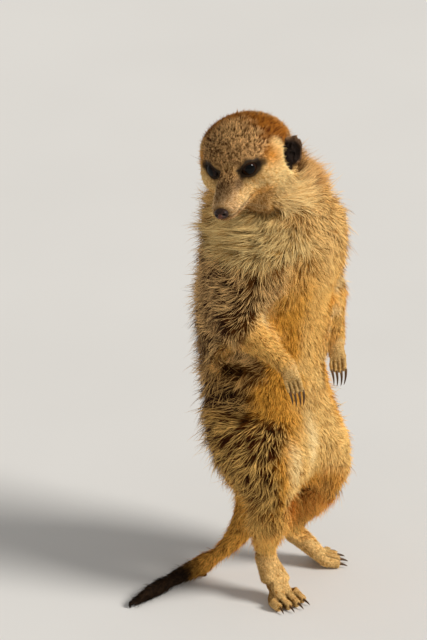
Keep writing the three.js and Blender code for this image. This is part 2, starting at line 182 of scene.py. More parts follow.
def unmirrored(m, h):
    """Folded coordinates or directions put back on the side that h is on."""
    return m * np.where(h[:, 1:2] < 0, vec(1, -1, 1), 1)


EYE_PLACE, NOSE_PLACE, EAR_MIDDLE = (
    to_head(place[None])[0] for place in (EYES["left"], NOSE, middle("ear_left"))
)


# ---- The camera, first ----

CAMERA_AZIMUTH, CAMERA_ELEVATION = math.radians(-58), math.radians(26)
CAMERA_DISTANCE = 7.927
CAMERA_LENS = 742.5
AIM_RIGHT, AIM_UP = -0.0229, 0.0186  # of the middle of the model, in metres


def make_camera():
    back = Vector((
        math.sin(CAMERA_AZIMUTH) * math.cos(CAMERA_ELEVATION),
        -math.cos(CAMERA_AZIMUTH) * math.cos(CAMERA_ELEVATION),
        math.sin(CAMERA_ELEVATION),
    ))
    right = Vector((0, 0, 1)).cross(back).normalized()
    up = back.cross(right)
    centre = (Vector(cad_box[0]) + Vector(cad_box[1])) / 2
    data = bpy.data.cameras.new("camera")
    data.sensor_width = 36
    data.lens = CAMERA_LENS
    data.clip_end = 100
    camera = add_object("camera", data)
    turn = Matrix((right, up, back)).transposed().to_4x4()
    place = centre + right * AIM_RIGHT + up * AIM_UP + back * CAMERA_DISTANCE
    camera.matrix_world = Matrix.Translation(place) @ turn
    bpy.context.scene.camera = camera


make_camera()


# ---- A mesh as arrays ----

class Surface:
    """Points and faces of a closed mesh, with what smoothing and growing fur on it needs."""

    def __init__(self, mesh):
        self.mesh = mesh
        self.points = read(mesh.vertices, "co") / MM
        a, b = read(mesh.edges, "vertices", 2, int).T
        self.ends, self.neighbours = np.concatenate([a, b]), np.concatenate([b, a])
        mesh.calc_loop_triangles()
        self.triangles = read(mesh.loop_triangles, "vertices", 3, int)

    def sums(self, index, values):
        """The sum of the rows of values that go to each point."""
        return np.stack([np.bincount(index, column, len(self.points)) for column in values.T], axis=1)

    def neighbours_mean(self, values):
        flat = values.reshape(len(values), -1)
        valence = np.bincount(self.ends)[:, None]
        return (self.sums(self.ends, flat[self.neighbours]) / valence).reshape(values.shape)

    def smoothed(self, values, rounds):
        for _ in range(rounds):
            values = mix(values, self.neighbours_mean(values), 0.5)
        return values

    def corners(self):
        return (self.points[self.triangles[:, i]] for i in range(3))

    def normals(self):
        a, b, c = self.corners()
        across = np.tile(np.cross(b - a, c - a), (3, 1))
        return unit(self.sums(self.triangles.T.ravel(), across))

    def store(self):
        place_points(self.mesh, self.points)


def place_points(mesh, points):
    mesh.vertices.foreach_set("co", (points * MM).ravel())
    mesh.update()


# ---- The skin: the flesh nodes in one mesh ----

# How the coat lies on each part: how deep the skin sits under the outline, how long the hair is,
# how far it stands off the skin (degrees), how wide a tuft is, tufts per square millimetre, and how
# many rounds of smoothing take the facets off the skin there.
COAT_KEYS = ("depth", "length", "lift", "width", "density", "rounds")
COAT_ROWS = {
    "muzzle": (0.8, 2.4, 20, 0.26, 7.5, 3),
    "head": (2.3, 4.2, 35, 0.30, 6.7, 8),
    "ear": (0.6, 2.2, 24, 0.22, 7.0, 2),
    "neck": (8.6, 14, 50, 0.37, 3.2, 30),
    "chest": (7.0, 13, 30, 0.35, 3.6, 40),
    "abdomen": (6.5, 14, 28, 0.35, 3.6, 40),
    "thigh": (6.5, 14, 27, 0.34, 3.7, 40),
    "upper_arm": (5.0, 12, 26, 0.35, 3.8, 20),
    "forearm": (2.2, 5.5, 22, 0.30, 6.0, 8),
    "hand": (0.4, 1.4, 11, 0.20, 10, 1),
    "shin": (2.4, 6.5, 20, 0.32, 5.4, 10),
    "foot": (0.5, 2.3, 13, 0.22, 7.5, 1),
    "tail_base": (4.6, 6.5, 14, 0.34, 4.4, 40),
    "tail_middle": (2.6, 5.5, 13, 0.32, 5.0, 10),
    "tail_tip": (1.3, 6, 15, 0.36, 5.0, 6),
}
COAT = {part: dict(zip(COAT_KEYS, row)) for part, row in COAT_ROWS.items()}
# The shorter, finer coat of the throat, chest and belly.
FRONT_COAT = dict(depth=3.6, length=6.6, lift=38, width=0.34, density=4.8)
FLESH = [name for name in NODES if not any(word in name for word in ("eye", "nose", "claw"))]
STUFFED = FLESH + ["eye_left", "eye_right", "nose"]  # what the skin is drawn over
VOXEL = 0.0013  # metres
CLOSE_GAPS = 0.35  # what each solid grows by, so that neighbours meet
FINE_PARTS = ("head", "muzzle", "ear", "eye", "nose", "hand", "foot")  # of smaller faces
ROUND_DIGITS = 3.4  # how far from fingers and toes the faces are smaller still


def part_of(node):
    """The name of a node without its side."""
    return node.replace("_left", "").replace("_right", "")


def joined_solids():
    """The solids in one mesh, grown a little so that they meet, and the index of each face's solid."""
    points, faces, owners, start = [], [], [], 0
    for index, name in enumerate(STUFFED):
        bm = bmesh.new()
        bm.from_mesh(NODES[name].data)
        bmesh.ops.remove_doubles(bm, verts=bm.verts, dist=1e-6)
        bm.normal_update()
        points += [v.co + v.normal * CLOSE_GAPS * MM for v in bm.verts]
        faces += [[start + v.index for v in face.verts] for face in bm.faces]
        owners += [index] * len(bm.faces)
        start += len(bm.verts)
        bm.free()
    return points, faces, np.array(owners)


def remeshed(points, faces):
    """The outer surface of overlapping solids as one mesh of even squares."""
    mesh = bpy.data.meshes.new("solids")
    mesh.from_pydata([tuple(p) for p in points], [], faces)
    solids = add_object("solids", mesh)
    remesh = solids.modifiers.new("remesh", "REMESH")
    remesh.mode = "VOXEL"
    remesh.voxel_size = VOXEL
    graph = bpy.context.evaluated_depsgraph_get()
    made = bpy.data.meshes.new_from_object(solids.evaluated_get(graph))
    bpy.data.objects.remove(solids)
    return made


def split_faces(mesh, chosen):
    """Halves the edges of the chosen faces, where the skin needs finer shapes."""
    bm = bmesh.new()
    bm.from_mesh(mesh)
    bm.faces.ensure_lookup_table()
    edges = {edge for index in chosen for edge in bm.faces[index].edges}
    bmesh.ops.subdivide_edges(bm, edges=list(edges), cuts=1, use_grid_fill=True)
    bm.to_mesh(mesh)
    bm.free()


def nearest_solids(tree, owners, points):
    return np.array([owners[tree.find_nearest(Vector(p))[2]] for p in points])


def claw_ends(node, limb_middle):
    """The root and the tip of a claw."""
    points = node_points(node)
    tip = points[norms(points - limb_middle).argmax()]
    from_tip = norms(points - tip)
    return points[from_tip > 0.85 * from_tip.max()].mean(0), tip


# Hands and feet: the radius at the wrist, at the knuckles and at the fingertips, and the share of the
# way from the claws back to the wrist or heel at which the knuckles lie.
PAWS = {
    "hand": dict(wrist=4.3, knuckle=1.2, tip=0.95, back=0.56, above="forearm"),
    "foot": dict(wrist=5.8, knuckle=2.7, tip=2.2, back=0.36, above="shin"),
}


def claw_nodes(limb, side):
    return [f"{limb}_claw_{side}_{digit}" for digit in DIGITS]


def paw_bones(limb, side):
    """The wrist or heel of a limb, its four knuckles and the roots of its four claws."""
    size = PAWS[limb]
    points = node_points(f"{limb}_{side}")
    claws = [claw_ends(node, points.mean(0))[0] for node in claw_nodes(limb, side)]
    reach = norms(points - middle(f"{size['above']}_{side}"))
    wrist = points[reach < np.quantile(reach, 0.2)].mean(0)
    back = (wrist - np.mean(claws, axis=0)) * size["back"]
    knuckles = [claw + back for claw in claws]
    if limb == "foot":
        knuckles = [knuckle * vec(1, 1, 0) + vec(0, 0, size["knuckle"] + 2) for knuckle in knuckles]
    return wrist, knuckles, claws


BONES = {(limb, side): paw_bones(limb, side) for limb in PAWS for side in SIDES}


def digit_places():
    """Points along every finger and toe."""
    places = [mix(knuckle, claw, t) for _, knuckles, claws in BONES.values()
              for knuckle, claw in zip(knuckles, claws) for t in (0, 0.35, 0.7, 1)]
    return np.array(places)


def faces_near(mesh, places, reach):
    """The faces whose middles lie within reach of any of the places."""
    centres = read(mesh.polygons, "center") / MM
    near = np.zeros(len(centres), bool)
    for place in places:
        near |= norms(centres - place) < reach
    return np.flatnonzero(near)


def make_skin():
    """The skin before it is shaped, and for each of its points the solid that it lies nearest to."""
    points, faces, owners = joined_solids()
    tree = BVHTree.FromPolygons([tuple(p) for p in points], faces)
    mesh = remeshed(points, faces)
    face_nodes = nearest_solids(tree, owners, read(mesh.polygons, "center"))
    fine = np.array([part_of(name) in FINE_PARTS for name in STUFFED])
    split_faces(mesh, np.flatnonzero(fine[face_nodes]))
    split_faces(mesh, faces_near(mesh, digit_places(), ROUND_DIGITS))
    surface = Surface(mesh)
    return surface, nearest_solids(tree, owners, surface.points * MM)


skin, node_of = make_skin()
SKIN_PART = [{"eye": "head", "nose": "muzzle"}.get(part_of(name), part_of(name)) for name in STUFFED]
part_names = np.array(SKIN_PART)[node_of]
node_names = np.array(STUFFED)[node_of]


def per_part(key):
    return np.array([COAT[name][key] for name in SKIN_PART], float)[node_of]


def in_parts(*parts):
    return np.isin(part_names, parts)


def part_share(rounds, *parts):
    """1 on some parts, fading to 0 past their edges, the further the more rounds of smoothing."""
    return skin.smoothed(in_parts(*parts).astype(float), rounds)


def smooth_skin():
    """Takes the facets off each part, by its own number of rounds."""
    rounds = per_part("rounds")
    for done in range(int(rounds.max())):
        skin.points = np.where((rounds > done)[:, None], skin.smoothed(skin.points, 1), skin.points)


smooth_skin()


# ---- Distance fields ----

def egg(p, centre, radii):
    q = (p - vec(*centre)) / vec(*radii)
    k = norms(q)
    return k * (k - 1) / np.maximum(norms(q / vec(*radii)), 1e-9)


def rod(p, a, b, radius_a, radius_b):
    a, b = vec(*a), vec(*b)
    t = np.clip((p - a) @ (b - a) / dot(b - a, b - a), 0, 1)
    return norms(p - a - t[:, None] * (b - a)) - mix(radius_a, radius_b, t)


def chain(p, joints, radii):
    links = [rod(p, joints[i], joints[i + 1], radii[i], radii[i + 1]) for i in range(len(joints) - 1)]
    return np.minimum.reduce(links)


def blend(k, *fields):
    """The union of solids, with fillets of about a size k where they meet."""
    out = fields[0]
    for field in fields[1:]:
        h = np.maximum(k - np.abs(out - field), 0) / k
        out = np.minimum(out, field) - h * h * k / 4
    return out


def carve(field, tool, k):
    return -blend(k, -field, tool)


def slope(field, p):
    """The way in which a field rises."""
    step = 0.2
    ahead = [field(p + step * axis) - field(p - step * axis) for axis in np.eye(3)]
    return unit(np.stack(ahead, axis=1))


# ---- The head, in its own frame: forward, left, up ----

NECK_JOINTS = [(23.6, -5.9, -61.5), (19.6, -4.9, -39.5), (11.6, -1.9, -13.5)]  # from the head's middle
NECK_RADII = [40, 34, 26.5]
LID = 0.8  # thickness of an eyelid
GAZE = unit(vec(0.80, 0.60, 0.04))  # of the left eye
EYE_SLANT = math.radians(13)  # the outer corner stands higher
EYE_LEVEL = unit(np.cross(vec(0, 0, 1), GAZE))
EYE_OUTWARD = EYE_LEVEL * math.cos(EYE_SLANT) + np.cross(GAZE, EYE_LEVEL) * math.sin(EYE_SLANT)
EYE_UPWARD = np.cross(GAZE, EYE_OUTWARD)
EYE_HALF_WIDTH, EYE_HALF_HEIGHT = 0.88, 0.64  # of the opening, as shares of the eye's radius
MOUTH_LINE = [(24, 40, 53), (-15.6, -17.8, -18.6)]  # forward, up: from the corner to under the nose


def mouth_groove(h):
    """1 on the line between the lips, fading to 0 a millimetre away."""
    off = (h[:, 2] - np.interp(h[:, 0], *MOUTH_LINE)) / 0.7
    return np.exp(-off * off) * ramp(23, 27, h[:, 0])


def head_outline(p):
    h = to_head(p)
    m = mirrored(h)
    skull = [
        egg(h, (-3, 0, 0.5), (26, 27.5, 19.5)),
        egg(h, (13, 0, 1), (13.5, 17, 14)),
        chain(h, [(15, 0, -9.5), (33, 0, -12.5), (49, 0, -15.5)], [15, 10.8, 5.6]),
        chain(h, [(2, 0, -12), (24, 0, -15), (42, 0, -18)], [15, 9, 4.2]),
        egg(m, (4, 15, -10), (18, 12, 13)),
    ]
    field = blend(7, *skull)
    field = blend(10, field, chain(p - HEAD_MIDDLE, NECK_JOINTS, NECK_RADII))
    eye_socket = egg(m, (28, 13, -1), (7, 6, 5.2))
    behind_cheek = egg(m, (-5, 31, -8), (10, 6.5, 10))
    field = carve(carve(field, eye_socket, 4), behind_cheek, 4)
    whisker_pad = egg(m, (43, 3.6, -16.5), (6.5, 4.2, 4.4))
    brow = egg(m, (21, 8.5, 5.2), (5.5, 6.5, 2.6))
    field = blend(3, field, whisker_pad, brow)
    bridge_side = egg(m, (34, 11, -7.5), (9, 4, 3.5))
    return carve(field, bridge_side, 3) + 0.9 * mouth_groove(h)


def eye_coordinates(h):
    """For points in head coordinates: distance from the nearer eye, and how far out of its opening."""
    q = mirrored(h) - EYE_PLACE
    r = norms(q)
    d = q / np.maximum(r, 1e-6)[:, None]
    across, over = (d @ EYE_OUTWARD) / EYE_HALF_WIDTH, (d @ EYE_UPWARD) / EYE_HALF_HEIGHT
    out = np.hypot(across, over * (1 + 0.25 * across * across))
    return r, np.where(d @ GAZE > 0, out, 9)


# ---- Hands, feet and ears ----

def paw_field(limb, side):
    """The outline of one hand or foot: a fan of bones, with a finger or toe on each."""
    size = PAWS[limb]
    wrist, knuckles, claws = BONES[limb, side]

    def field(p):
        fan = [rod(p, wrist, knuckle, size["wrist"], size["knuckle"] + 0.1) for knuckle in knuckles]
        fingers = [rod(p, k, c, size["knuckle"], size["tip"]) for k, c in zip(knuckles, claws)]
        return blend(0.4, blend(0.9, *fan), *fingers)

    return field


def between_digits(p, limb, side):
    """1 in the grooves between neighbouring fingers or toes, 0 along their backs."""
    _, knuckles, claws = BONES[limb, side]
    gaps = np.array([rod(p, k, c, 0, 0) for k, c in zip(knuckles, claws)])
    gaps.sort(axis=0)
    knuckle_line, claw_line = np.mean(knuckles, axis=0), np.mean(claws, axis=0)
    past_knuckles = (p - knuckle_line) @ unit(claw_line - knuckle_line)
    return ramp(0.44, 0.70, gaps[0] / gaps[1]) * ramp(-0.5, 3.5, past_knuckles)


EAR_FACING = unit(vec(0.53, 0.848, 0.05))  # the way the left ear opens, in the head's frame
EAR_BACK = unit(np.cross(vec(0, 0, 1), EAR_FACING))  # from its front edge to its back edge
EAR_UP = np.cross(EAR_FACING, EAR_BACK)
EAR_PLACE = EAR_MIDDLE - 2.4 * EAR_BACK + 2.2 * EAR_FACING
EAR_RADII = vec(4.0, 8.8, 11.0)
UNDER_EAR = 2.2  # how deep the skin lies round the ears
EAR_BOWL, EAR_BOWL_RADII = vec(3.6, 0, -0.2), vec(6.4, 6.9, 9.2)


def ear_coordinates(p):
    """Out of the ear's opening, towards its back edge and up, from the middle of the nearer ear."""
    q = mirrored(to_head(p)) - EAR_PLACE
    return np.stack([q @ EAR_FACING, q @ EAR_BACK, q @ EAR_UP], axis=1)


def ear_field(p):
    """A thick-rimmed oval cup with a fold inside and a notch in its front edge."""
    e = ear_coordinates(p)
    shell = egg(e, (0, 0, 0), EAR_RADII)
    cup = carve(shell, egg(e, EAR_BOWL, EAR_BOWL_RADII), 0.8)
    fold = chain(e, [(-1.2, 1.0, -6.2), (-0.2, 3.6, -1.5), (-0.4, 1.6, 5.2)], [1.0, 1.3, 1.0])
    ridge = rod(e, (-1.4, -3.4, 4.2), (-0.8, 1.2, 0.4), 1.0, 0.9)
    flap = egg(e, (1.8, -6.0, -3.0), (1.9, 1.8, 2.8))
    notch = rod(e, (3.6, -8.4, 2.4), (1.0, -4.4, 1.4), 1.4, 0.9)
    return carve(blend(1.0, cup, fold, ridge, flap), notch, 0.6)


def in_ear_bowl(p):
    """True in the hollow of either ear."""
    e = ear_coordinates(p)
    inside = norms(e[:, 1:] / (0.92 * EAR_BOWL_RADII[1:])) < 1
    return inside & (e[:, 0] > -3.4) & (e[:, 0] < 3)


# ---- The skin is drawn in under the coat and shaped ----

FIT_ROUNDS = 8
FIT_STEP = 2  # the furthest a point moves in one round


def fit_to(field, weight):
    """Moves the skin onto the surface where a field is zero, by as much as the weight says."""
    chosen = np.flatnonzero(weight > 0.02)
    for done in range(FIT_ROUNDS):
        if done < FIT_ROUNDS - 2:
            evened = mix(skin.points, skin.neighbours_mean(skin.points), 0.4)
            skin.points[chosen] = mix(skin.points[chosen], evened[chosen], weight[chosen])
        p = skin.points[chosen]
        step = field(p, chosen)[:, None] * slope(lambda q: field(q, chosen), p)
        skin.points[chosen] = p - np.clip(step, -FIT_STEP, FIT_STEP) * weight[chosen, None]


def body_angle(normals):
    """Degrees round the body that the surface faces: 0 at the front, 180 at the back."""
    return np.degrees(np.arctan2(np.abs(normals[:, 0]), -normals[:, 1]))


def neckward(p):
    """0 on the face and crown, growing to 1 where the head passes into the neck."""
    h = to_head(p)
    return ramp(9, 26, -0.75 * h[:, 2] - 0.45 * h[:, 0])


def with_neck(key):
    """A value of the coat on every part, where the head takes on the neck's towards the neck."""
    values = per_part(key)
    return np.where(in_parts("head"), mix(values, COAT["neck"][key], neckward(skin.points)), values)


def evened_out(values, small_share):
    """A value that changes gradually over the body, and faster on the small parts."""
    return mix(skin.smoothed(values, 60), skin.smoothed(values, 6), small_share)


trunk_share = part_share(10, "neck", "chest", "abdomen", "thigh", "upper_arm")
thigh_share = part_share(10, "thigh")
head_share = part_share(30, "head", "muzzle") * (1 - part_share(3, "ear"))
facing = body_angle(skin.smoothed(skin.normals(), 30))
neck_sides = 26 * ramp(SHOULDER - 10, SHOULDER + 20, skin.points[:, 2])
front_share = trunk_share * ramp(82, 52, facing + 22 * thigh_share + neck_sides)
depth = mix(with_neck("depth"), FRONT_COAT["depth"], front_share)
depth = evened_out(depth, part_share(6, "hand", "foot", "ear"))


def sink_skin():
    """Sinks the skin by the coat's depth, a little at a time."""
    steps = 6
    deep = ramp(2, 5, depth)[:, None]
    for _ in range(steps):
        skin.points = skin.points - skin.normals() * (depth * (1 - head_share) / steps)[:, None]
        skin.points = mix(skin.points, skin.smoothed(skin.points, 2), deep)


def head_skin(p, chosen):
    lids = norms(mirrored(to_head(p)) - EYE_PLACE) - (EYE_RADIUS + LID)
    return blend(2.6, head_outline(p) + depth[chosen], lids)


def ear_skin(p, chosen):
    return blend(0.8, head_outline(p) + UNDER_EAR, ear_field(p))


def shape_paws():
    for limb, side in BONES:
        paw = paw_field(limb, side)
        share = skin.smoothed((node_names == f"{limb}_{side}").astype(float), 4)
        fit_to(lambda p, chosen: paw(p), share)


def shape_ears():
    near_ear = norms(ear_coordinates(skin.points) / (EAR_RADII + vec(3, 1, 1)))
    fit_to(ear_skin, ramp(1.5, 1.2, near_ear))


def open_eyes():
    """Presses the skin inside each eye's opening behind the eyeball and leaves a lid round it."""
    h = to_head(skin.points)
    r, out = eye_coordinates(h)
    close = r < EYE_RADIUS + 4
    pressed = mix(EYE_RADIUS - 1.2, np.maximum(r, EYE_RADIUS + LID), ramp(0.96, 1.06, out))
    wanted = np.where(close & (out < 1.3), pressed, r)
    m = EYE_PLACE + (mirrored(h) - EYE_PLACE) * (wanted / np.maximum(r, 1e-6))[:, None]
    skin.points = np.where(close[:, None], from_head(unmirrored(m, h)), skin.points)


def press_behind_nose():
    """Draws the skin in behind the pad of the nose, so that the nostrils open in front of it."""
    h = to_head(skin.points) - NOSE_PLACE
    share = ramp(-1.2, 0.4, h[:, 0]) * ramp(6.4, 5.2, norms(h))
    skin.points = from_head(NOSE_PLACE + h * mix(1, 0.35, share)[:, None])


sink_skin()
fit_to(head_skin, head_share)
shape_paws()
shape_ears()
open_eyes()
press_behind_nose()
skin.store()
skin_normals = skin.normals()
skin_tree = BVHTree.FromPolygons(skin.points.tolist(), skin.triangles.tolist())


# ---- Markings: the same on skin and coat ----

def colour(code):
    """A hex code as linear red, green and blue."""
    channels = [int(code[i:i + 2], 16) / 255 for i in (0, 2, 4)]
    return vec(*[c / 12.92 if c < 0.04045 else ((c + 0.055) / 1.055) ** 2.4 for c in channels])


# Each kind of fur: the colour of its pale tips, of its roots and the skin under it, of the tips of
# the dark hairs among the pale ones, the share of dark hairs, and how far along a hair its colour turns.
FUR = {
    "gold": ("f4b248", "96560f", "aa6c1a", 0.44, 0.34),
    "cream": ("f8dc98", "c0904a", "d6a85c", 0.36, 0.30),
    "pale": ("fbe4ac", "c0964e", "dcb674", 0.32, 0.28),
    "ruff": ("f0c27a", "5c320b", "825018", 0.48, 0.44),
    # flank: partly the coat's own dark grizzle, partly painted shade of the side away from the light
    "flank": ("fec878", "1a0700", "341504", 0.83, 0.58),
    "shoulder": ("ffce88", "230e02", "482307", 0.70, 0.53),
    "haunch": ("ffcc74", "2a0e02", "5a2c0a", 0.69, 0.54),
    "back": ("e2b478", "2c1405", "52300f", 0.60, 0.52),
    "band": ("6c4424", "160a04", "2a1408", 0.60, 0.60),
    "crown": ("b06c24", "461a02", "643008", 0.48, 0.45),
    "nape": ("d2a062", "4e2c0e", "70461c", 0.46, 0.45),
    "forehead": ("f6c07c", "3c2009", "56300f", 0.49, 0.43),
    "temple": ("e89a34", "985410", "b47020", 0.40, 0.35),
    "muzzle": ("ecc48e", "946832", "a87c46", 0.40, 0.35),
    "cheek": ("f4d290", "b27a34", "cf9c50", 0.36, 0.30),
    "black": ("2c1e15", "0c0604", "150c07", 0.50, 0.50),
    "eyepatch": ("6c4e34", "26180e", "3a2616", 0.48, 0.48),
    "eye_rim": ("1c120c", "0a0503", "120b07", 0.50, 0.50),
    "lid": ("4e4640", "2c2621", "3a332d", 0.20, 0.50),
    # ear_rim: brown hairs, made paler by painted light
    "ear_rim": ("b8906a", "50382a", "6a4c34", 0.30, 0.25),
    "ear_bowl": ("2e2018", "0a0604", "160e09", 0.50, 0.50),
    "limb": ("ffcc70", "80440a", "9e5c18", 0.36, 0.32),
    "paw": ("ffda92", "a06a26", "bc883e", 0.32, 0.28),
    # between: painted shade in the gaps between fingers and toes
    "between": ("54300f", "180a03", "281204", 0.60, 0.50),
    "rust": ("eca850", "84490f", "a8661c", 0.38, 0.35),
    "tail": ("fabc58", "7a430e", "a06424", 0.38, 0.36),
    "tail_end": ("3c2a1a", "120a05", "20140c", 0.50, 0.50),
}
PART_FUR = {
    "muzzle": "muzzle", "head": "nape", "ear": "black", "neck": "gold", "chest": "gold",
    "abdomen": "gold", "thigh": "gold", "upper_arm": "shoulder", "forearm": "limb", "hand": "paw",
    "shin": "limb", "foot": "paw", "tail_base": "tail", "tail_middle": "tail", "tail_tip": "tail_end",
}
# Which columns of the tints hold what.
TIP, ROOT, DARK, DARK_SHARE, TURN = slice(0, 3), slice(3, 6), slice(6, 9), 9, 10
BAND_SPACING = 15  # between the dark bands across the back
INNER_THIGH = vec(9.5, -38, 107)  # a pale patch
TAIL_WAY = unit(middle("tail_tip") - middle("tail_base"))
TAIL_DARKENS = middle("tail_middle") @ TAIL_WAY + vec(-11, 6)  # the tail turns dark between these


def tints_of(kind):
    """One row for a kind: pale tip, root and dark tip as colours, share of dark hairs, turn."""
    codes, numbers = FUR[kind][:3], FUR[kind][3:]
    return np.concatenate([*(colour(code) for code in codes), numbers])


def ripple(p, size, seed):
    """Smooth noise from about -1 to 1, with lumps of about a size in millimetres."""
    waves = 14
    draw = np.random.default_rng(seed)
    directions = unit(draw.normal(size=(waves, 3))) * draw.uniform(0.6, 1.6, (waves, 1))
    phases = draw.uniform(0, 2 * math.pi, waves)
    return np.sin(p @ directions.T * (math.pi / size) + phases).sum(1) / math.sqrt(waves)


def near_spot(p, place, radii, soft):
    """1 inside an egg-shaped spot, fading to 0 outside it."""
    k = norms((p - vec(*place)) / vec(*radii))
    return 1 - ramp(1 - soft, 1 + soft, k)


def paint_trunk(paint, p):
    """The grizzled flanks, made darker in part by painted shade, and back with their cross bands, and the
    pale belly.
    """
    wobble = ripple(p, 9, 11)
    round_body = facing + 5 * wobble
    rough_height = p[:, 2] + 5 * wobble
    paint(trunk_share * ramp(SHOULDER - 6, SHOULDER + 44, rough_height), "ruff", 0.85)
    high = ramp(SHOULDER - 62, SHOULDER - 22, rough_height)
    sides = trunk_share * ramp(52, 78, round_body + 26 * thigh_share)
    below_head = ramp(SHOULDER + 52, SHOULDER + 22, p[:, 2])
    # The flank's dark roots and many dark hairs: partly its own grizzle, partly painted shade of the side
    # away from the light.
    paint(sides * below_head * (1 - high) * (1 - thigh_share), "flank")
    paint(sides * below_head * high, "shoulder")
    paint(sides * thigh_share, "haunch")
    paint(sides * below_head * ramp(105, 135, facing), "back", 0.8)
    paint(trunk_share * ramp(34, 8, round_body) * (1 - 0.4 * high), "cream", 0.6)
    along_back = np.sin(p[:, 2] * (2 * math.pi / BAND_SPACING) + 0.8 * wobble)
    bands = ramp(0.1, 0.8, along_back) * ramp(118, 150, facing)
    paint(trunk_share * bands * ramp(SHOULDER - 8, SHOULDER - 30, p[:, 2]), "band", 0.75)


def paint_limbs(paint, p):
    """The gold of the lower arms, the dark outsides of the shins, and the pale and rusty insides."""
    wobble = ripple(p, 9, 11)
    height = p[:, 2] + 3 * wobble
    outward = skin_normals[:, 0] * np.sign(p[:, 0])
    inner_front = -0.85 * skin_normals[:, 1] - 0.53 * outward
    paint(part_share(4, "upper_arm", "forearm") * ramp(0.72, 0.94, inner_front), "pale", 0.65)
    lower_arm = part_share(8, "upper_arm") * ramp(SHOULDER + 2, SHOULDER - 22, height)
    paint(lower_arm * ramp(98, 74, facing + 3 * wobble), "limb", 0.75)
    outward = outward + 0.08 * wobble
    paint(part_share(8, "shin") * ramp(0.0, 0.5, outward) * ramp(44, 66, height), "haunch", 0.6)
    legs = part_share(8, "abdomen", "thigh", "shin")
    groin = ramp(84, 62, height) * ramp(28, 44, p[:, 2])
    paint(legs * groin * ramp(0.35, -0.2, outward) * ramp(120, 80, facing), "rust", 0.8)
    for sign in SIDES.values():
        paint(legs * near_spot(p, INNER_THIGH * vec(sign, 1, 1), (5.5, 8, 24), 0.5), "pale", 0.7)


def paint_head(paint, h, m):
    """The grizzled forehead, red crown, pale cheeks, dark eye patches, nose and line of the lips."""
    wobble = ripple(from_head(h), 4, 12)
    face = in_parts("head", "muzzle").astype(float)
    ahead, above = h[:, 0], h[:, 2]
    rough_ahead = ahead + 2 * wobble

    def spot(kind, strength, place, radii, soft):
        paint(face * near_spot(m, place, radii, soft), kind, strength)

    throat = ramp(-20, -30, above + 2 * wobble) * ramp(0, 12, ahead)
    paint(part_share(6, "neck", "head", "muzzle") * throat, "cream", 0.8)
    slant = mix(0.40, 0.65, ramp(-8, 8, h[:, 1]))
    paint(face * ramp(-20, -8, rough_ahead) * ramp(-4, 4, above + wobble), "crown")
    paint(face * ramp(-11, 4, ahead - slant * m[:, 1] + 3 * wobble), "forehead")
    low = ramp(1.5, -5, above + 1.2 * wobble - 0.12 * ahead) * ramp(-13, 0, ahead)
    beside_eye = ramp(18, 23, m[:, 1] - 0.25 * above + wobble) * ramp(24, 17, ahead)
    paint(face * beside_eye * ramp(3, 9, ahead + wobble), "temple")
    paint(face * low * ramp(31, 24, ahead), "cheek")
    spot("cheek", 0.9, (6, 24, 0), (5, 5, 10), 0.35)
    spot("temple", 0.6, (22, 15, -17), (12, 7, 3.2), 0.5)
    paint(face * ramp(27, 34, ahead) * ramp(-1, -6, above + 0.25 * (ahead - 30)), "muzzle")
    spot("cheek", 0.6, (33, 9, -13), (9, 5, 4), 0.5)
    spot("eyepatch", 0.65, EYE_PLACE + vec(1.4, 0.4, -1.4), (6.8, 6.6, 5.0), 0.35)
    spot("temple", 0.62, EYE_PLACE + vec(-9.5, 10.5, 0.5), (6, 6, 5.5), 0.6)
    spot("black", 0.85, EYE_PLACE + vec(-3.6, 6.6, 0.8), (4.2, 4.2, 2.7), 0.4)
    # Dark streaks from the inner corner of each eye down the bridge: partly dark fur, partly painted
    # shade beside the bridge.
    spot("eyepatch", 0.75, (31, 6.2, -6.5), (6.5, 2.6, 3.4), 0.5)
    spot("eyepatch", 0.55, (40, 1.5, -6.5), (12, 4.2, 4.6), 0.6)
    # A brown band along the lower edge of the jaw: partly brown fur, partly painted shade under the jaw.
    paint(face * ramp(-18, -21, above + 0.6 * wobble) * ramp(6, 16, ahead), "crown", 0.55)
    paint(face * mouth_groove(h), "black", 0.8)
    paint(near_spot(h, NOSE_PLACE - vec(1.5, 0, 0), (3.6, 5.2, 4.2), 0.2), "black", 0.7)


def paint_eyelids(paint, h, m):
    """A black rim round each eye, and a greyer edge on its upper lid."""
    from_eye, out = eye_coordinates(h)
    lids = in_parts("head", "muzzle") * ramp(EYE_RADIUS + 3.5, EYE_RADIUS + 2, from_eye)
    paint(lids * ramp(1.32, 1.20, out), "eye_rim", 0.92)
    over_eye = ramp(0.05, 0.3, (m - EYE_PLACE) @ EYE_UPWARD / EYE_RADIUS)
    paint(lids * over_eye * ramp(1.26, 1.21, out) * ramp(1.12, 1.16, out), "lid", 0.6)


def paint_ears(paint, p):
    """Black ears with a paler rim towards the back: brown hairs, made paler by painted light where the
    rim faces the light.
    """
    ear = ear_coordinates(p)
    on_ear = ramp(0.9, 0.4, ear_field(p))
    from_middle = norms(ear[:, 1:] / EAR_RADII[1:])
    # The rim's paler brown is partly its own brown hairs and partly painted light.
    rim = ramp(0.50, 0.86, from_middle) * ramp(-3, 1, ear[:, 1])
    paint(on_ear, "black")
    paint(on_ear * rim, "ear_rim", 0.85)
    paint(in_ear_bowl(p) * (1 - rim), "ear_bowl")


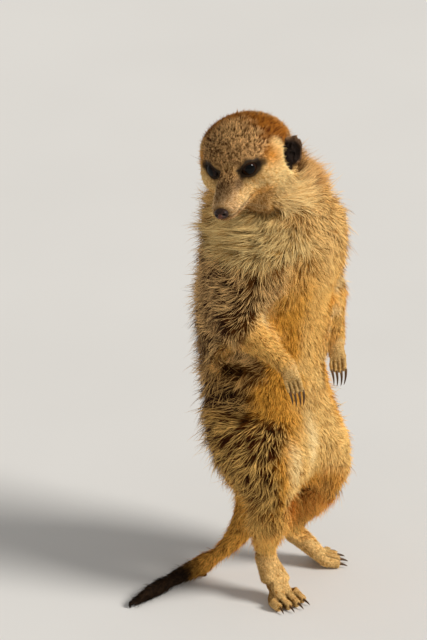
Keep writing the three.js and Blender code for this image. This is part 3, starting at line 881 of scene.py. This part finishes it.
def paint_coat(p):
    """The tints at each point of the skin."""
    tints = np.array([tints_of(PART_FUR[name]) for name in SKIN_PART])[node_of]
    tints = skin.smoothed(tints, 25)

    def paint(share, kind, strength=1.0):
        nonlocal tints
        tints = mix(tints, tints_of(kind), share * strength)

    paint_trunk(paint, p)
    paint_limbs(paint, p)
    h = to_head(p)
    paint_head(paint, h, mirrored(h))
    paint_eyelids(paint, h, mirrored(h))
    paint_ears(paint, p)
    # Painted shade in the gaps between fingers and toes.
    paint(shaded_webs, "between", 0.95)
    tail = in_parts("tail_base", "tail_middle", "tail_tip")
    paint(tail * ramp(*TAIL_DARKENS, p @ TAIL_WAY + 3 * ripple(p, 7, 13)), "tail_end")
    return tints


# The skin between fingers and between toes: painted dark as the shade in the gaps, and kept almost bare
# of hair.
shaded_webs = sum((node_names == f"{paw}_{side}") * between_digits(skin.points, paw, side) for paw, side in BONES)
tints = paint_coat(skin.points)


# ---- The lie of the coat ----

BACK_SWEEP = 0.85  # how far the coat of the sides is swept back, for each unit down
SHOULDER_SWEEP = 1.3  # how much more it is swept back over the shoulders
WHORL = (2, -8, 44)  # outward, back and up from the middle of the upper arm: the hair parts here


def comb_ways():
    """The direction the hair points in on each solid, before it is smoothed over the skin."""
    ways = {name: vec(0, 0, -1) for name in STUFFED}
    for side, sign in SIDES.items():
        for limb, start, end in (("upper_arm", "upper_arm", "forearm"), ("forearm", "upper_arm", "hand"),
                                 ("thigh", "thigh", "shin"), ("shin", "thigh", "foot")):
            ways[f"{limb}_{side}"] = way(f"{start}_{side}", f"{end}_{side}")
        for paw, start in (("hand", "forearm"), ("foot", "foot")):
            claws = np.mean([middle(node) for node in claw_nodes(paw, side)], axis=0)
            ways[f"{paw}_{side}"] = unit(claws - middle(f"{start}_{side}"))
        ways[f"ear_{side}"] = unit(vec(-0.5, 0.8 * sign, 0.4)) @ HEAD_AXES
    ways["tail_base"] = way("abdomen", "tail_middle")
    ways["tail_middle"] = way("tail_base", "tail_tip")
    ways["tail_tip"] = way("tail_middle", "tail_tip")
    return ways


def comb_coat(p, normals):
    """The direction along the skin in which the hair lies at each point."""
    comb = np.array([COMB_WAYS[name] for name in STUFFED])[node_of]
    swept = trunk_share * ramp(20, 70, facing) * ramp(178, 150, facing)
    swept = swept * ramp(40, 90, p[:, 2])
    swept *= 1 + SHOULDER_SWEEP * ramp(SHOULDER - 25, SHOULDER + 20, p[:, 2])
    comb = comb + swept[:, None] * vec(0, BACK_SWEEP, 0)
    for side, sign in SIDES.items():
        from_whorl = p - (middle(f"upper_arm_{side}") + vec(sign, 1, 1) * WHORL)
        near = ramp(22, 4, norms(from_whorl)) * trunk_share
        comb = mix(comb, unit(from_whorl), 0.7 * near)
    h = to_head(p)
    back = np.stack([-np.ones(len(h)), h[:, 1] / 60, -0.8 * ramp(4, -18, h[:, 2])], axis=1)
    comb = np.where(in_parts("head", "muzzle")[:, None], unit(back) @ HEAD_AXES, comb)
    comb = skin.smoothed(flatten(comb, normals), 30)
    from_eye = mirrored(h) - EYE_PLACE
    near = ramp(13, 8, norms(from_eye))
    comb = mix(unit(comb), unit(unmirrored(from_eye, h)) @ HEAD_AXES, near * 0.8)
    turn = 0.5 * ripple(p, 16, 3) + 0.25 * ripple(p, 6, 4)
    turn = turn * ramp(3, 9, hair["length"])
    return turned(unit(flatten(comb, normals)), normals, turn)


def plan_hair():
    """The length, lift, width and density of the hair at each point of the skin."""
    small_share = part_share(8, "hand", "foot", "ear", "muzzle")
    hair = {key: evened_out(with_neck(key), small_share) for key in ("length", "lift", "width")}
    hair["density"] = evened_out(per_part("density"), small_share)
    ruff = ramp(SHOULDER - 5, SHOULDER + 25, skin.points[:, 2])
    front = dict(FRONT_COAT, length=FRONT_COAT["length"] + 2 * ruff)
    hair = {key: mix(values, front[key], front_share) for key, values in hair.items()}
    length = hair["length"]
    upper_shin = part_share(8, "shin") * ramp(32, 62, skin.points[:, 2])
    length = mix(length, COAT["thigh"]["length"], 0.8 * upper_shin)
    from_eye, out = eye_coordinates(to_head(skin.points))
    length = mix(length, 1.5, ramp(EYE_RADIUS + 9, EYE_RADIUS + 1.5, from_eye))
    from_ear = norms(ear_coordinates(skin.points) / (EAR_RADII + vec(4, 0, 0)))
    hair["length"] = mix(length, np.minimum(length, 2.2), ramp(1.4, 1.1, from_ear))
    bare = (from_eye < EYE_RADIUS + 2.5) & (out < 1.24)
    bare |= norms(skin.points - NOSE) < 4.4
    bare |= in_ear_bowl(skin.points)
    hair["density"] = np.where(bare, 0, hair["density"] * (1 - 0.9 * shaded_webs))
    return hair


COMB_WAYS = comb_ways()
hair = plan_hair()
comb = comb_coat(skin.points, skin_normals)


# ---- Tufts ----

FEWER = 1.0
DARK_PATCHES = 0.03  # how much the share of dark hairs varies from patch to patch of the shaggy coat
CLUMP, FINE_CLUMP = 2.8, 1.3  # the size of the clumps that long and short hair gathers in
STRAYS, SHAGGY_STRAYS = 0.04, 0.03  # the share of hairs that stand out of the coat, and more in long hair


def plant_roots():
    """Where the tufts grow: values of the skin at random points of its triangles."""
    a, b, c = skin.corners()
    area = norms(np.cross(b - a, c - a)) / 2
    wanted = area * hair["density"][skin.triangles].mean(1) * FEWER
    counts = np.floor(wanted + rng.random(len(wanted))).astype(int)
    chosen = np.repeat(np.arange(len(counts)), counts)
    u, v = rng.random((2, len(chosen)))
    folded = u + v > 1
    u, v = np.where(folded, 1 - u, u), np.where(folded, 1 - v, v)
    weights = np.stack([1 - u - v, u, v], axis=1)[:, :, None]
    corners = skin.triangles[chosen]

    def at_roots(values):
        values = values.reshape(len(values), -1)
        return (values[corners] * weights).sum(1)

    return dict(
        place=at_roots(skin.points),
        normal=unit(at_roots(skin_normals)),
        comb=unit(at_roots(comb)),
        length=at_roots(hair["length"])[:, 0],
        lift=at_roots(hair["lift"])[:, 0],
        width=at_roots(hair["width"])[:, 0],
        tints=at_roots(tints),
        node=node_of[corners[:, 0]],
    )


def scramble(cells, seed):
    """A repeatable random number from 0 to 1 for each whole-numbered cell of a grid."""
    mixed = cells @ np.array([73856093, 19349663, 83492791]) + seed * 2654435761
    mixed = (mixed ^ (mixed >> 13)) * 1274126177 & 0x7FFFFFFF
    mixed = (mixed ^ (mixed >> 16)) * 668265263 & 0x7FFFFFFF
    return (mixed & 0xFFFFFF) / 0xFFFFFF


def find_clumps(p, size):
    """The middle of the nearest clump of each root, and random numbers that its hairs share."""
    cells = np.floor(p / size).astype(np.int64)
    best = np.full(len(p), 1e9)
    middles = np.zeros_like(p)
    owners = np.zeros_like(cells)
    for shift in np.ndindex(3, 3, 3):
        cell = cells + np.array(shift) - 1
        jitter = np.stack([scramble(cell, seed) for seed in (1, 2, 3)], axis=1)
        candidate = (cell + jitter) * size
        gap = ((candidate - p) ** 2).sum(1)
        closer = gap < best
        best = np.where(closer, gap, best)
        middles[closer] = candidate[closer]
        owners[closer] = cell[closer]
    return middles, [scramble(owners, seed) for seed in (4, 5, 6, 7)]


def share_clumps(p, shaggy):
    """Clumps as big as the coat is long: their middles, and the random numbers their hairs share."""
    small, fine_chances = find_clumps(p, FINE_CLUMP)
    large, chances = find_clumps(p, CLUMP)
    long_hair = shaggy > 0.8
    middles = np.where(long_hair[:, None], large, small)
    return middles, [np.where(long_hair, a, b) for a, b in zip(chances, fine_chances)]


def vary_tufts(roots, shaggy, tone, swing, rise, reach):
    """Which tufts are dark and which stray, and the way, the length and the lift of each."""
    count = len(shaggy)
    dark_share = roots["tints"][:, DARK_SHARE]
    patchy = DARK_PATCHES * ripple(roots["place"], 7, 21) * ramp(0.5, 0.7, dark_share)
    dark = mix(rng.random(count), tone, mix(0.6, 0.45, shaggy)) < dark_share + patchy
    roots["chance"] = mix(rng.random(count), reach, 0.6)
    swing = (swing - 0.5) * 0.9 * shaggy + rng.normal(0, 0.2, count)
    along = turned(roots["comb"], roots["normal"], swing)
    stray = rng.random(count) < STRAYS + SHAGGY_STRAYS * shaggy
    length = roots["length"] * (0.8 + 0.4 * reach * shaggy) * rng.uniform(0.7, 1.15, count)
    # Where most hairs are dark they lie low, and the pale ones are long, broad and stand over them.
    overlaid = ramp(0.5, 0.8, dark_share)
    length = length * np.where(dark, 0.82 - 0.16 * overlaid, 1.06) * np.where(stray, 1.3, 1)
    roots["width"] = roots["width"] * np.where(dark, 1, 1 + 0.15 * overlaid) * np.where(stray, 0.7, 1)
    lift = roots["lift"] + (rise - 0.5) * 18 * shaggy + rng.normal(0, 7, count)
    lift += stray * mix(26, 14, shaggy)
    lift += np.where(dark, -4, 7) * overlaid
    return dark, stray, along, length, np.radians(np.clip(lift, 6, 80))


def shape_tufts(roots):
    """Start, bend and tip of every tuft, and whether it is a dark hair."""
    p, n = roots["place"], roots["normal"]
    shaggy = ramp(3, 11, roots["length"])
    middles, chances = share_clumps(p, shaggy)
    dark, stray, along, length, lift = vary_tufts(roots, shaggy, *chances)
    flat, high = length * np.cos(lift), length * np.sin(lift)
    gather = flatten(middles - p, n)
    gather *= np.minimum(1, 3.5 / np.maximum(norms(gather), 1e-6))[:, None]
    gather *= ((0.35 + 0.2 * shaggy) * ~stray)[:, None]
    ends = p + along * flat[:, None] + gather
    tips = np.empty_like(p)
    for i, end in enumerate(ends):
        spot, spot_normal = skin_tree.find_nearest(end)[:2]
        tips[i] = spot + spot_normal * high[i]
    bends = p + along * (0.48 * flat)[:, None] + n * (0.72 * high)[:, None]
    bends += 0.35 * gather + 0.3 * (tips - ends - n * high[:, None])
    return p - n * 0.3, bends, tips, dark


# Where along a tuft its cross-lines lie, and how wide it is there, for long and for short hair.
LONG_ROWS = ((0, 0.7), (0.36, 1.0), (0.72, 0.62))
SHORT_ROWS = ((0, 0.85), (0.5, 0.8))
LONG_HAIR = 8.5
PATCH = 0.003  # across each tuft on the unwrap of the skin
FLOOR_CLEARANCE = 0.25


def rows_for(lengths):
    return LONG_ROWS if lengths.mean() > LONG_HAIR else SHORT_ROWS


def above_floor(points):
    """The points, with those that would lie lower lifted to just above the floor."""
    return np.maximum(points, (-np.inf, -np.inf, FLOOR_CLEARANCE))


def blade_points(starts, bends, tips, roots, rows, unwrapped):
    """The points of tapered blades along curves from start over bend to tip, and their values."""
    count, per_tuft = len(starts), 2 * len(rows) + 1
    roll = rng.normal(0, 0.6, count)
    width = roots["width"] * rng.uniform(0.7, 1.25, count)
    points, normals = np.empty((2, count, per_tuft, 3))
    uv = np.empty((count, per_tuft, 2))
    along = np.empty((count, per_tuft))
    for row, (t, share) in enumerate([*rows, (1, 0)]):
        centre = starts * (1 - t) ** 2 + bends * 2 * t * (1 - t) + tips * t ** 2
        tangent = unit((bends - starts) * (1 - t) + (tips - bends) * t)
        side = unit(np.cross(tangent, roots["normal"]))
        face = np.cross(side, tangent)
        side = side * np.cos(roll)[:, None] + face * np.sin(roll)[:, None]
        soft = unit(0.75 * roots["normal"] + 0.25 * np.cross(side, tangent))
        for column, sign in enumerate((-1, 1) if t < 1 else (0,)):
            at = 2 * row + column
            points[:, at] = centre + side * (sign * width * share / 2)[:, None]
            normals[:, at] = unit(soft + side * sign * 0.35)
            uv[:, at] = unwrapped + vec(sign * PATCH / 2, (t - 0.5) * PATCH)
            along[:, at] = t
    return above_floor(points), normals, uv, along


def blade_faces(count, per_tuft):
    """Quads up each blade and a triangle at its tip: their corners, and how many each has."""
    quads = [(i, i + 1, i + 3, i + 2) for i in range(0, per_tuft - 3, 2)]
    end = (per_tuft - 3, per_tuft - 2, per_tuft - 1)
    one_tuft = np.concatenate([*quads, end])
    loops = np.arange(count)[:, None] * per_tuft + one_tuft
    return loops.ravel(), np.tile([4] * len(quads) + [3], count)


def blade_mesh(name, starts, bends, tips, roots, dark, unwrapped):
    """One mesh of tufts, with what their material and their unwrap need."""
    rows = rows_for(roots["length"])
    points, normals, uv, along = blade_points(starts, bends, tips, roots, rows, unwrapped)
    loops, sizes = blade_faces(*along.shape)
    mesh = bpy.data.meshes.new(name)
    mesh.vertices.add(along.size)
    mesh.loops.add(len(loops))
    mesh.loops.foreach_set("vertex_index", loops)
    mesh.polygons.add(len(sizes))
    mesh.polygons.foreach_set("loop_start", np.concatenate([[0], np.cumsum(sizes)[:-1]]))
    mesh.vertices.foreach_set("co", (points * MM).ravel())
    mesh.update(calc_edges=True)
    shade_smooth(mesh)
    mesh.uv_layers.new(name="OFBake").uv.foreach_set("vector", uv.reshape(-1, 2)[loops].ravel())

    def all_along(values):
        return np.repeat(values, along.shape[1], axis=0)

    tints = roots["tints"]
    add_tints(mesh, "tip_tint", all_along(np.where(dark[:, None], tints[:, DARK], tints[:, TIP])))
    add_tints(mesh, "root_tint", all_along(tints[:, ROOT]))
    add_values(mesh, "along", along)
    add_values(mesh, "chance", all_along(roots["chance"]))
    add_values(mesh, "turn", all_along(tints[:, TURN]))
    mesh.normals_split_custom_set_from_vertices(normals.reshape(-1, 3))
    return mesh


def add_tints(mesh, name, tints):
    with_alpha = np.concatenate([tints, np.ones((len(tints), 1))], axis=1)
    mesh.attributes.new(name, "FLOAT_COLOR", "POINT").data.foreach_set("color", with_alpha.ravel())


def add_values(mesh, name, values):
    mesh.attributes.new(name, "FLOAT", "POINT").data.foreach_set("value", np.ravel(values))


def add_piece(name, mesh, look, slot, *nodes):
    piece = add_object(name, mesh)
    mesh.materials.clear()
    mesh.materials.append(look)
    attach(piece, "root")
    if nodes:
        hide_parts(*nodes)


# ---- The coat, region by region ----

MOST_TRIANGLES = 190000  # in one piece


def coat_regions():
    """Coat pieces: the solids each covers, and the line round which its skin is unwrapped."""
    regions = {
        "coat_head": (["head", "eye_left", "eye_right"], HEAD_AXES[0]),
        "coat_muzzle": (["muzzle", "nose"], HEAD_AXES[0]),
        "coat_neck": (["neck"], vec(0, 0, 1)),
        "coat_chest": (["chest"], vec(0, 0, 1)),
        "coat_abdomen": (["abdomen"], vec(0, 0, 1)),
        "coat_tail_base": (["tail_base"], way("tail_base", "tail_middle")),
        "coat_tail": (["tail_middle", "tail_tip"], TAIL_WAY),
    }
    for side in SIDES:
        regions[f"coat_ear_{side}"] = ([f"ear_{side}"], HEAD_AXES[1])
        for limb in ("upper_arm", "forearm", "hand", "thigh", "shin", "foot"):
            node = f"{limb}_{side}"
            regions[f"coat_{node}"] = ([node], COMB_WAYS[node])
    return regions


def unwrap(p, line):
    """Places round and along a line, each from 0 to 1: an unwrap of the skin of one region."""
    across = unit(np.cross(line, vec(0.3, 0.9, 0.2)))
    over = np.cross(line, across)
    q = p - p.mean(0)
    both = np.stack([np.arctan2(q @ over, q @ across), q @ line], axis=1)
    low, high = both.min(0), both.max(0)
    return inside_border((both - low) / (high - low))


def inside_border(uv):
    """Places from 0 to 1 drawn in, so that a whole patch fits round each."""
    return PATCH + uv * (1 - 2 * PATCH)


def grow_coat(look):
    roots = plant_roots()
    starts, bends, tips, dark = shape_tufts(roots)
    for name, (nodes, line) in coat_regions().items():
        region = np.flatnonzero(np.isin(roots["node"], [STUFFED.index(node) for node in nodes]))
        place = unwrap(roots["place"][region], line)
        per_tuft = 2 * len(rows_for(roots["length"][region])) - 1
        parts = math.ceil(len(region) * per_tuft / MOST_TRIANGLES)
        share = np.clip((place[:, 0] * parts).astype(int), 0, parts - 1)
        slot = "dark_coat" if "ear" in name or name == "coat_tail" else "coat"
        for index in range(parts):
            own = share == index
            chosen = region[own]
            unwrapped = inside_border(place[own] * vec(parts, 1) - vec(index, 0))
            part_name = name if parts == 1 else f"{name}_{index + 1}"
            subset = {key: values[chosen] for key, values in roots.items()}
            curves = (starts[chosen], bends[chosen], tips[chosen])
            mesh = blade_mesh(part_name, *curves, subset, dark[chosen], unwrapped)
            add_piece(part_name, mesh, look, slot)


# ---- Materials ----

class Look:
    """A node material under construction."""

    def __init__(self, name, roughness, specular, coat=0.0, coat_roughness=0.03):
        self.material = bpy.data.materials.new(name)
        self.material.use_nodes = True
        self.tree = self.material.node_tree
        self.shader = self.tree.nodes["Principled BSDF"]
        self.shader.inputs["Roughness"].default_value = roughness
        self.shader.inputs["Specular IOR Level"].default_value = specular
        self.shader.inputs["Coat Weight"].default_value = coat
        self.shader.inputs["Coat Roughness"].default_value = coat_roughness

    def node(self, kind, inputs=(), **settings):
        made = self.tree.nodes.new(kind)
        for key, value in settings.items():
            setattr(made, key, value)
        for key, value in dict(inputs).items():
            self.feed(made.inputs[key], value)
        return made

    def feed(self, socket, value):
        if isinstance(value, bpy.types.NodeSocket):
            self.tree.links.new(value, socket)
        else:
            socket.default_value = value

    def tint(self, name):
        return self.node("ShaderNodeAttribute", attribute_name=name).outputs["Color"]

    def value(self, name):
        return self.node("ShaderNodeAttribute", attribute_name=name).outputs["Fac"]

    def place(self):
        return self.node("ShaderNodeTexCoord").outputs["Object"]

    def noise(self, scale, detail):
        inputs = {"Vector": self.place(), "Scale": scale, "Detail": detail, "Roughness": 0.55}
        return self.node("ShaderNodeTexNoise", inputs).outputs["Fac"]

    def span(self, value, low, high, start=0.0, end=1.0):
        inputs = {"Value": value, "From Min": start, "From Max": end, "To Min": low, "To Max": high}
        return self.node("ShaderNodeMapRange", inputs).outputs["Result"]

    def maths(self, operation, a, b):
        return self.node("ShaderNodeMath", {0: a, 1: b}, operation=operation).outputs[0]

    def mixed(self, share, a, b):
        made = self.node("ShaderNodeMix", {0: share, 6: a, 7: b}, data_type="RGBA")
        return made.outputs[2]

    def mottled(self, scale, detail, dark, pale):
        """Two colours in soft blotches."""
        return self.mixed(self.span(self.noise(scale, detail), 0, 1, 0.35, 0.65), rgba(dark), rgba(pale))

    def brightened(self, tint, value):
        inputs = {"Color": tint, "Value": value}
        return self.node("ShaderNodeHueSaturation", inputs).outputs["Color"]

    def bump(self, height, strength, distance):
        inputs = {"Height": height, "Strength": strength, "Distance": distance}
        normal = self.node("ShaderNodeBump", inputs).outputs["Normal"]
        self.feed(self.shader.inputs["Normal"], normal)

    def finished(self, tint, roughness=None):
        """The material, with what colours it and, when that varies, what makes it rough."""
        self.feed(self.shader.inputs["Base Color"], tint)
        if roughness:
            self.feed(self.shader.inputs["Roughness"], roughness)
        return self.material


def rgba(code):
    return (*colour(code), 1)


def fur_look():
    """Dark at the root and pale from its turn to its tip, no two tufts quite alike."""
    look = Look("fur", roughness=0.6, specular=0.06)
    past_turn = look.maths("SUBTRACT", look.value("along"), look.value("turn"))
    rise = look.span(past_turn, 0, 1, -0.22, 0.22)
    tint = look.mixed(rise, look.tint("root_tint"), look.tint("tip_tint"))
    bands = look.span(look.noise(900, 2), 0.88, 1.12, 0.3, 0.7)
    brightness = look.maths("MULTIPLY", look.span(look.value("chance"), 0.7, 1.3), bands)
    return look.finished(look.brightened(tint, brightness), look.span(bands, 0.5, 0.7, 0.85, 1.15))


def skin_look():
    """The colour of the roots, mottled with a little of the tips'."""
    look = Look("skin", roughness=0.75, specular=0.1)
    mottle = look.span(look.noise(420, 4), 0.15, 0.55, 0.3, 0.7)
    look.bump(look.noise(1400, 3), 0.5, 0.0004)
    return look.finished(look.mixed(mottle, look.tint("root_tint"), look.tint("tip_tint")))


def eye_look():
    """Wet dark brown iris round a black pupil."""
    look = Look("eye", roughness=0.2, specular=0.0, coat=0.25)
    fibres = look.span(look.noise(2600, 2), -0.05, 0.05, 0.3, 0.7)
    angle = look.maths("ADD", look.value("from_gaze"), fibres)
    iris = look.mottled(1800, 4, "180c06", "331c0e")
    pupil = look.mixed(look.span(angle, 0, 1, 0.52, 0.62), (0.002, 0.002, 0.002, 1), iris)
    return look.finished(look.mixed(look.span(angle, 0, 1, 0.74, 0.90), pupil, rgba("150d09")))


def nose_look():
    """Moist, finely pebbled skin: dark brown, pinker in the middle, black inside the nostrils."""
    look = Look("nose", roughness=0.4, specular=0.2, coat=0.1, coat_roughness=0.25)
    dark, pink = look.mottled(900, 4, "20130c", "3a2418"), look.mottled(900, 4, "5c3020", "7c4632")
    pad = look.mixed(look.value("pink"), dark, pink)
    tint = look.mixed(look.value("nostril"), pad, (0.003, 0.002, 0.002, 1))
    cells = look.node("ShaderNodeTexVoronoi", {"Scale": 2600.0, "Vector": look.place()})
    pebbles = cells.outputs["Distance"]
    look.bump(pebbles, 0.5, 0.0002)
    return look.finished(tint, look.span(pebbles, 0.28, 0.5, 0, 0.6))


def claw_look():
    """Dark brown horn with fine streaks, paler where it leaves the finger."""
    look = Look("claw", roughness=0.4, specular=0.3)
    streaks = look.span(look.noise(1500, 4), 0, 1, 0.3, 0.7)
    horn = look.mixed(streaks, rgba("34210f"), rgba("644628"))
    base = look.span(look.value("along"), 0.5, 0, 0.2, 0.5)
    look.bump(streaks, 0.3, 0.0002)
    return look.finished(look.mixed(base, horn, rgba("7a5a3c")), look.span(streaks, 0.32, 0.5))


# ---- Eyes and nose ----

NOSE_RADII = vec(3.8, 4.4, 3.4)
NOSE_FLATNESS = 0.88  # of its front


def unit_ball(name):
    """A ball as a mesh, and its points as directions."""
    bm = bmesh.new()
    bmesh.ops.create_icosphere(bm, subdivisions=5, radius=1)
    mesh = bpy.data.meshes.new(name)
    bm.to_mesh(mesh)
    bm.free()
    shade_smooth(mesh)
    return mesh, unit(read(mesh.vertices, "co"))


def add_eye(side, look):
    """A smooth eyeball whose clear front stands a little proud."""
    name = f"eyeball_{side}"
    mesh, directions = unit_ball(name)
    gaze = (GAZE * vec(1, SIDES[side], 1)) @ HEAD_AXES
    cosine = directions @ gaze
    radius = EYE_RADIUS * (1 + 0.03 * ramp(0.72, 0.95, cosine))
    place_points(mesh, EYES[side] + directions * radius[:, None])
    add_values(mesh, "from_gaze", np.arccos(np.clip(cosine, -1, 1)))
    add_piece(name, mesh, look, "eye", f"eye_{side}")


def add_nose(look):
    """The bare pad of the nose, with two nostrils that open outward and a groove below."""
    mesh, d = unit_ball("nose_pad")
    out = mirrored(d)

    def dent(place, spread):
        return np.exp(-((out - unit(vec(*place))) ** 2).sum(1) / spread ** 2)

    nostril = dent((0.80, 0.54, 0.10), 0.26) + 0.8 * dent((0.62, 0.78, -0.10), 0.22)
    nostril = np.minimum(nostril, 1)
    groove = np.exp(-(d[:, 1] / 0.10) ** 2) * ramp(0.15, -0.25, d[:, 2]) * (d[:, 0] > 0)
    wing = dent((0.70, 0.60, 0.32), 0.30)
    points = d * NOSE_RADII
    points[:, 0] *= np.where(points[:, 0] > 0, NOSE_FLATNESS, 1)
    points += d * (0.35 * wing - 1.9 * nostril - 0.45 * groove)[:, None]
    place_points(mesh, from_head(NOSE_PLACE + points))
    add_values(mesh, "nostril", ramp(0.35, 0.8, nostril))
    add_values(mesh, "pink", np.exp(-(d[:, 1] / 0.3) ** 2) * ramp(0.5, 0.1, d[:, 2]))
    add_piece("nose_pad", mesh, look, "nose", "nose")


# ---- Claws ----

CLAW_RINGS, CLAW_SIDES = 10, 12
CLAW_SUNK = 2.2  # how far a claw reaches back inside its finger
CLAW_HEIGHT, CLAW_BREADTH = 1.15, 0.85  # of its section, for a radius of 1
CLAW_RADIUS = {"hand": 0.82, "foot": 0.95}
CLAWS_MEET = {"hand": 0.3, "foot": 0.0}  # how far the tips of the claws lean together
CLAW_BOW = {"hand": 0.7, "foot": 0.6}
CLAW_UP = {"hand": vec(0, -1, 0), "foot": vec(0, 0, 1)}  # the way they bow


def claw_shape(limb, side, node):
    """Points and faces of one curved horn claw, and how far along it each point is."""
    root_middle = np.mean(BONES[limb, side][2], axis=0)
    root, tip = claw_ends(node, node_points(f"{limb}_{side}").mean(0))
    tip = mix(tip, root_middle + (tip - root), CLAWS_MEET[limb])
    ahead = unit(tip - root)
    up = unit(CLAW_UP[limb] - ahead * dot(CLAW_UP[limb], ahead))
    across = np.cross(ahead, up)
    length = norms(tip - root) + CLAW_SUNK
    start = root - ahead * CLAW_SUNK
    points, along, faces = [], [], []
    for ring in range(CLAW_RINGS):
        t = ring / (CLAW_RINGS - 1)
        centre = start + ahead * length * t + up * CLAW_BOW[limb] * (4 * t * (1 - t)) ** 0.8
        radius = CLAW_RADIUS[limb] * (1 - t) ** 0.62 + 0.05
        for k in range(CLAW_SIDES):
            angle = 2 * math.pi * k / CLAW_SIDES
            off_centre = up * math.cos(angle) * CLAW_HEIGHT + across * math.sin(angle) * CLAW_BREADTH
            points.append(centre + off_centre * radius)
            along.append(t)
    for first in range(0, (CLAW_RINGS - 1) * CLAW_SIDES, CLAW_SIDES):
        for k in range(CLAW_SIDES):
            after = (k + 1) % CLAW_SIDES
            faces.append([first + k, first + after, first + CLAW_SIDES + after, first + CLAW_SIDES + k])
    faces.append(list(range(CLAW_SIDES))[::-1])
    faces.append(list(range(len(points) - CLAW_SIDES, len(points))))
    return points, faces, along


def add_claws(limb, side, look):
    points, faces, along = [], [], []
    for node in claw_nodes(limb, side):
        own_points, own_faces, own_along = claw_shape(limb, side, node)
        faces += [[len(points) + index for index in face] for face in own_faces]
        points += own_points
        along += own_along
    name = f"claws_{limb}_{side}"
    mesh = bpy.data.meshes.new(name)
    mesh.from_pydata((above_floor(points) * MM).tolist(), [], faces)
    shade_smooth(mesh)
    add_values(mesh, "along", along)
    add_piece(name, mesh, look, "claw", *claw_nodes(limb, side))


# ---- Whiskers ----

# Those of the left side: where each grows, forward, left and up in the head's frame, and its length.
WHISKERS = [
    ((46, 4.0, -14.0), 13), ((46, 5.0, -16.5), 15), ((43, 6.4, -14.0), 17), ((43, 7.0, -16.8), 19),
    ((39.5, 8.2, -14.5), 21), ((39.5, 8.6, -17.5), 20), ((36, 9.4, -16.0), 18), ((24, 12.0, 5.5), 15),
]
WHISKER_WIDTH = 0.22


def whisker_curves():
    """Start, bend and tip of every whisker in the head's frame, and the skin's normal at its root."""
    curves = []
    for sign in SIDES.values():
        for place, length in WHISKERS:
            place = vec(*place) * vec(1, sign, 1)
            below = place[2] < 0
            outward = unit(vec(0.30, sign, -0.25 if below else 0.5))
            sweep = unit(vec(-0.55, sign, -0.55 if below else 0.25))
            found, normal = skin_tree.find_nearest(from_head(place[None])[0])[:2]
            start = to_head(np.array(found))
            bend = start + 0.45 * length * outward
            tip = start + length * (0.45 * outward + 0.55 * sweep)
            curves.append((start - 0.3 * outward, bend, tip, normal))
    return [np.array(rows) for rows in zip(*curves)]


def add_whiskers(look):
    """Long thin hairs that sweep back and down from the sides of the muzzle, and one over each eye."""
    *curves, normals = whisker_curves()
    count = len(normals)
    tints = np.concatenate([colour("b09468"), colour("3a2616"), colour("3a2616"), [0, 0.4]])
    roots = dict(
        length=np.full(count, 18.0),
        width=np.full(count, WHISKER_WIDTH),
        normal=normals,
        tints=np.tile(tints, (count, 1)),
        chance=rng.random(count),
    )
    unwrapped = np.stack([(np.arange(count) + 0.5) / count, np.full(count, 0.5)], axis=1)
    curves = [from_head(points) for points in curves]
    mesh = blade_mesh("whiskers", *curves, roots, np.zeros(count, bool), unwrapped)
    add_piece("whiskers", mesh, look, "coat")


# ---- The pieces ----

def add_skin(look):
    add_tints(skin.mesh, "tip_tint", tints[:, TIP])
    add_tints(skin.mesh, "root_tint", tints[:, ROOT])
    shade_smooth(skin.mesh)
    add_piece("skin", skin.mesh, look, "coat", *FLESH)


horn, wet, fur = claw_look(), eye_look(), fur_look()
for limb, side in BONES:
    add_claws(limb, side, horn)
for side in SIDES:
    add_eye(side, wet)
add_nose(nose_look())
add_skin(skin_look())
grow_coat(fur)
add_whiskers(fur)


# ---- Floor and light ----

FLOOR_HALF = 15  # metres
KEY_WAY = vec(-0.4, 1.6, -1.25)  # the key light shines this way, from the right of the camera and above
KEY_SOFTNESS = math.radians(20)
KEY_ENERGY = 2.85
FILL_STRENGTH, BACKDROP_STRENGTH = 0.37, 0.85


def floor_look():
    """Even, pale and matt."""
    look = Look("floor", roughness=0.8, specular=0.2)
    mottle = look.span(look.noise(6, 2), 0, 1, 0.35, 0.65)
    return look.finished(look.mixed(mottle, (0.78, 0.765, 0.74, 1), (0.80, 0.785, 0.76, 1)))


def make_floor():
    mesh = bpy.data.meshes.new("floor")
    corners = [(FLOOR_HALF * x, FLOOR_HALF * y, 0) for x, y in ((-1, -1), (1, -1), (1, 1), (-1, 1))]
    mesh.from_pydata(corners, [], [(0, 1, 2, 3)])
    mesh.materials.append(floor_look())
    add_object("floor", mesh)


def make_world():
    """Soft light from all round, and a pale background for the camera."""
    world = bpy.data.worlds.new("surroundings")
    bpy.context.scene.world = world
    world.use_nodes = True
    nodes, links = world.node_tree.nodes, world.node_tree.links
    background = nodes["Background"]
    background.inputs["Color"].default_value = (1.0, 0.985, 0.96, 1)
    seen = nodes.new("ShaderNodeLightPath").outputs["Is Camera Ray"]
    strength = nodes.new("ShaderNodeMapRange")
    strength.inputs["To Min"].default_value = FILL_STRENGTH
    strength.inputs["To Max"].default_value = BACKDROP_STRENGTH
    links.new(seen, strength.inputs["Value"])
    links.new(strength.outputs["Result"], background.inputs["Strength"])


def make_key_light():
    lamp = bpy.data.lights.new("key", "SUN")
    lamp.angle = KEY_SOFTNESS
    lamp.energy = KEY_ENERGY
    lamp.color = (1.0, 0.975, 0.93)
    add_object("key", lamp).rotation_euler = Vector(KEY_WAY).to_track_quat("-Z", "Y").to_euler()


make_floor()
make_world()
make_key_light()
bpy.context.scene.view_settings.view_transform = "Standard"
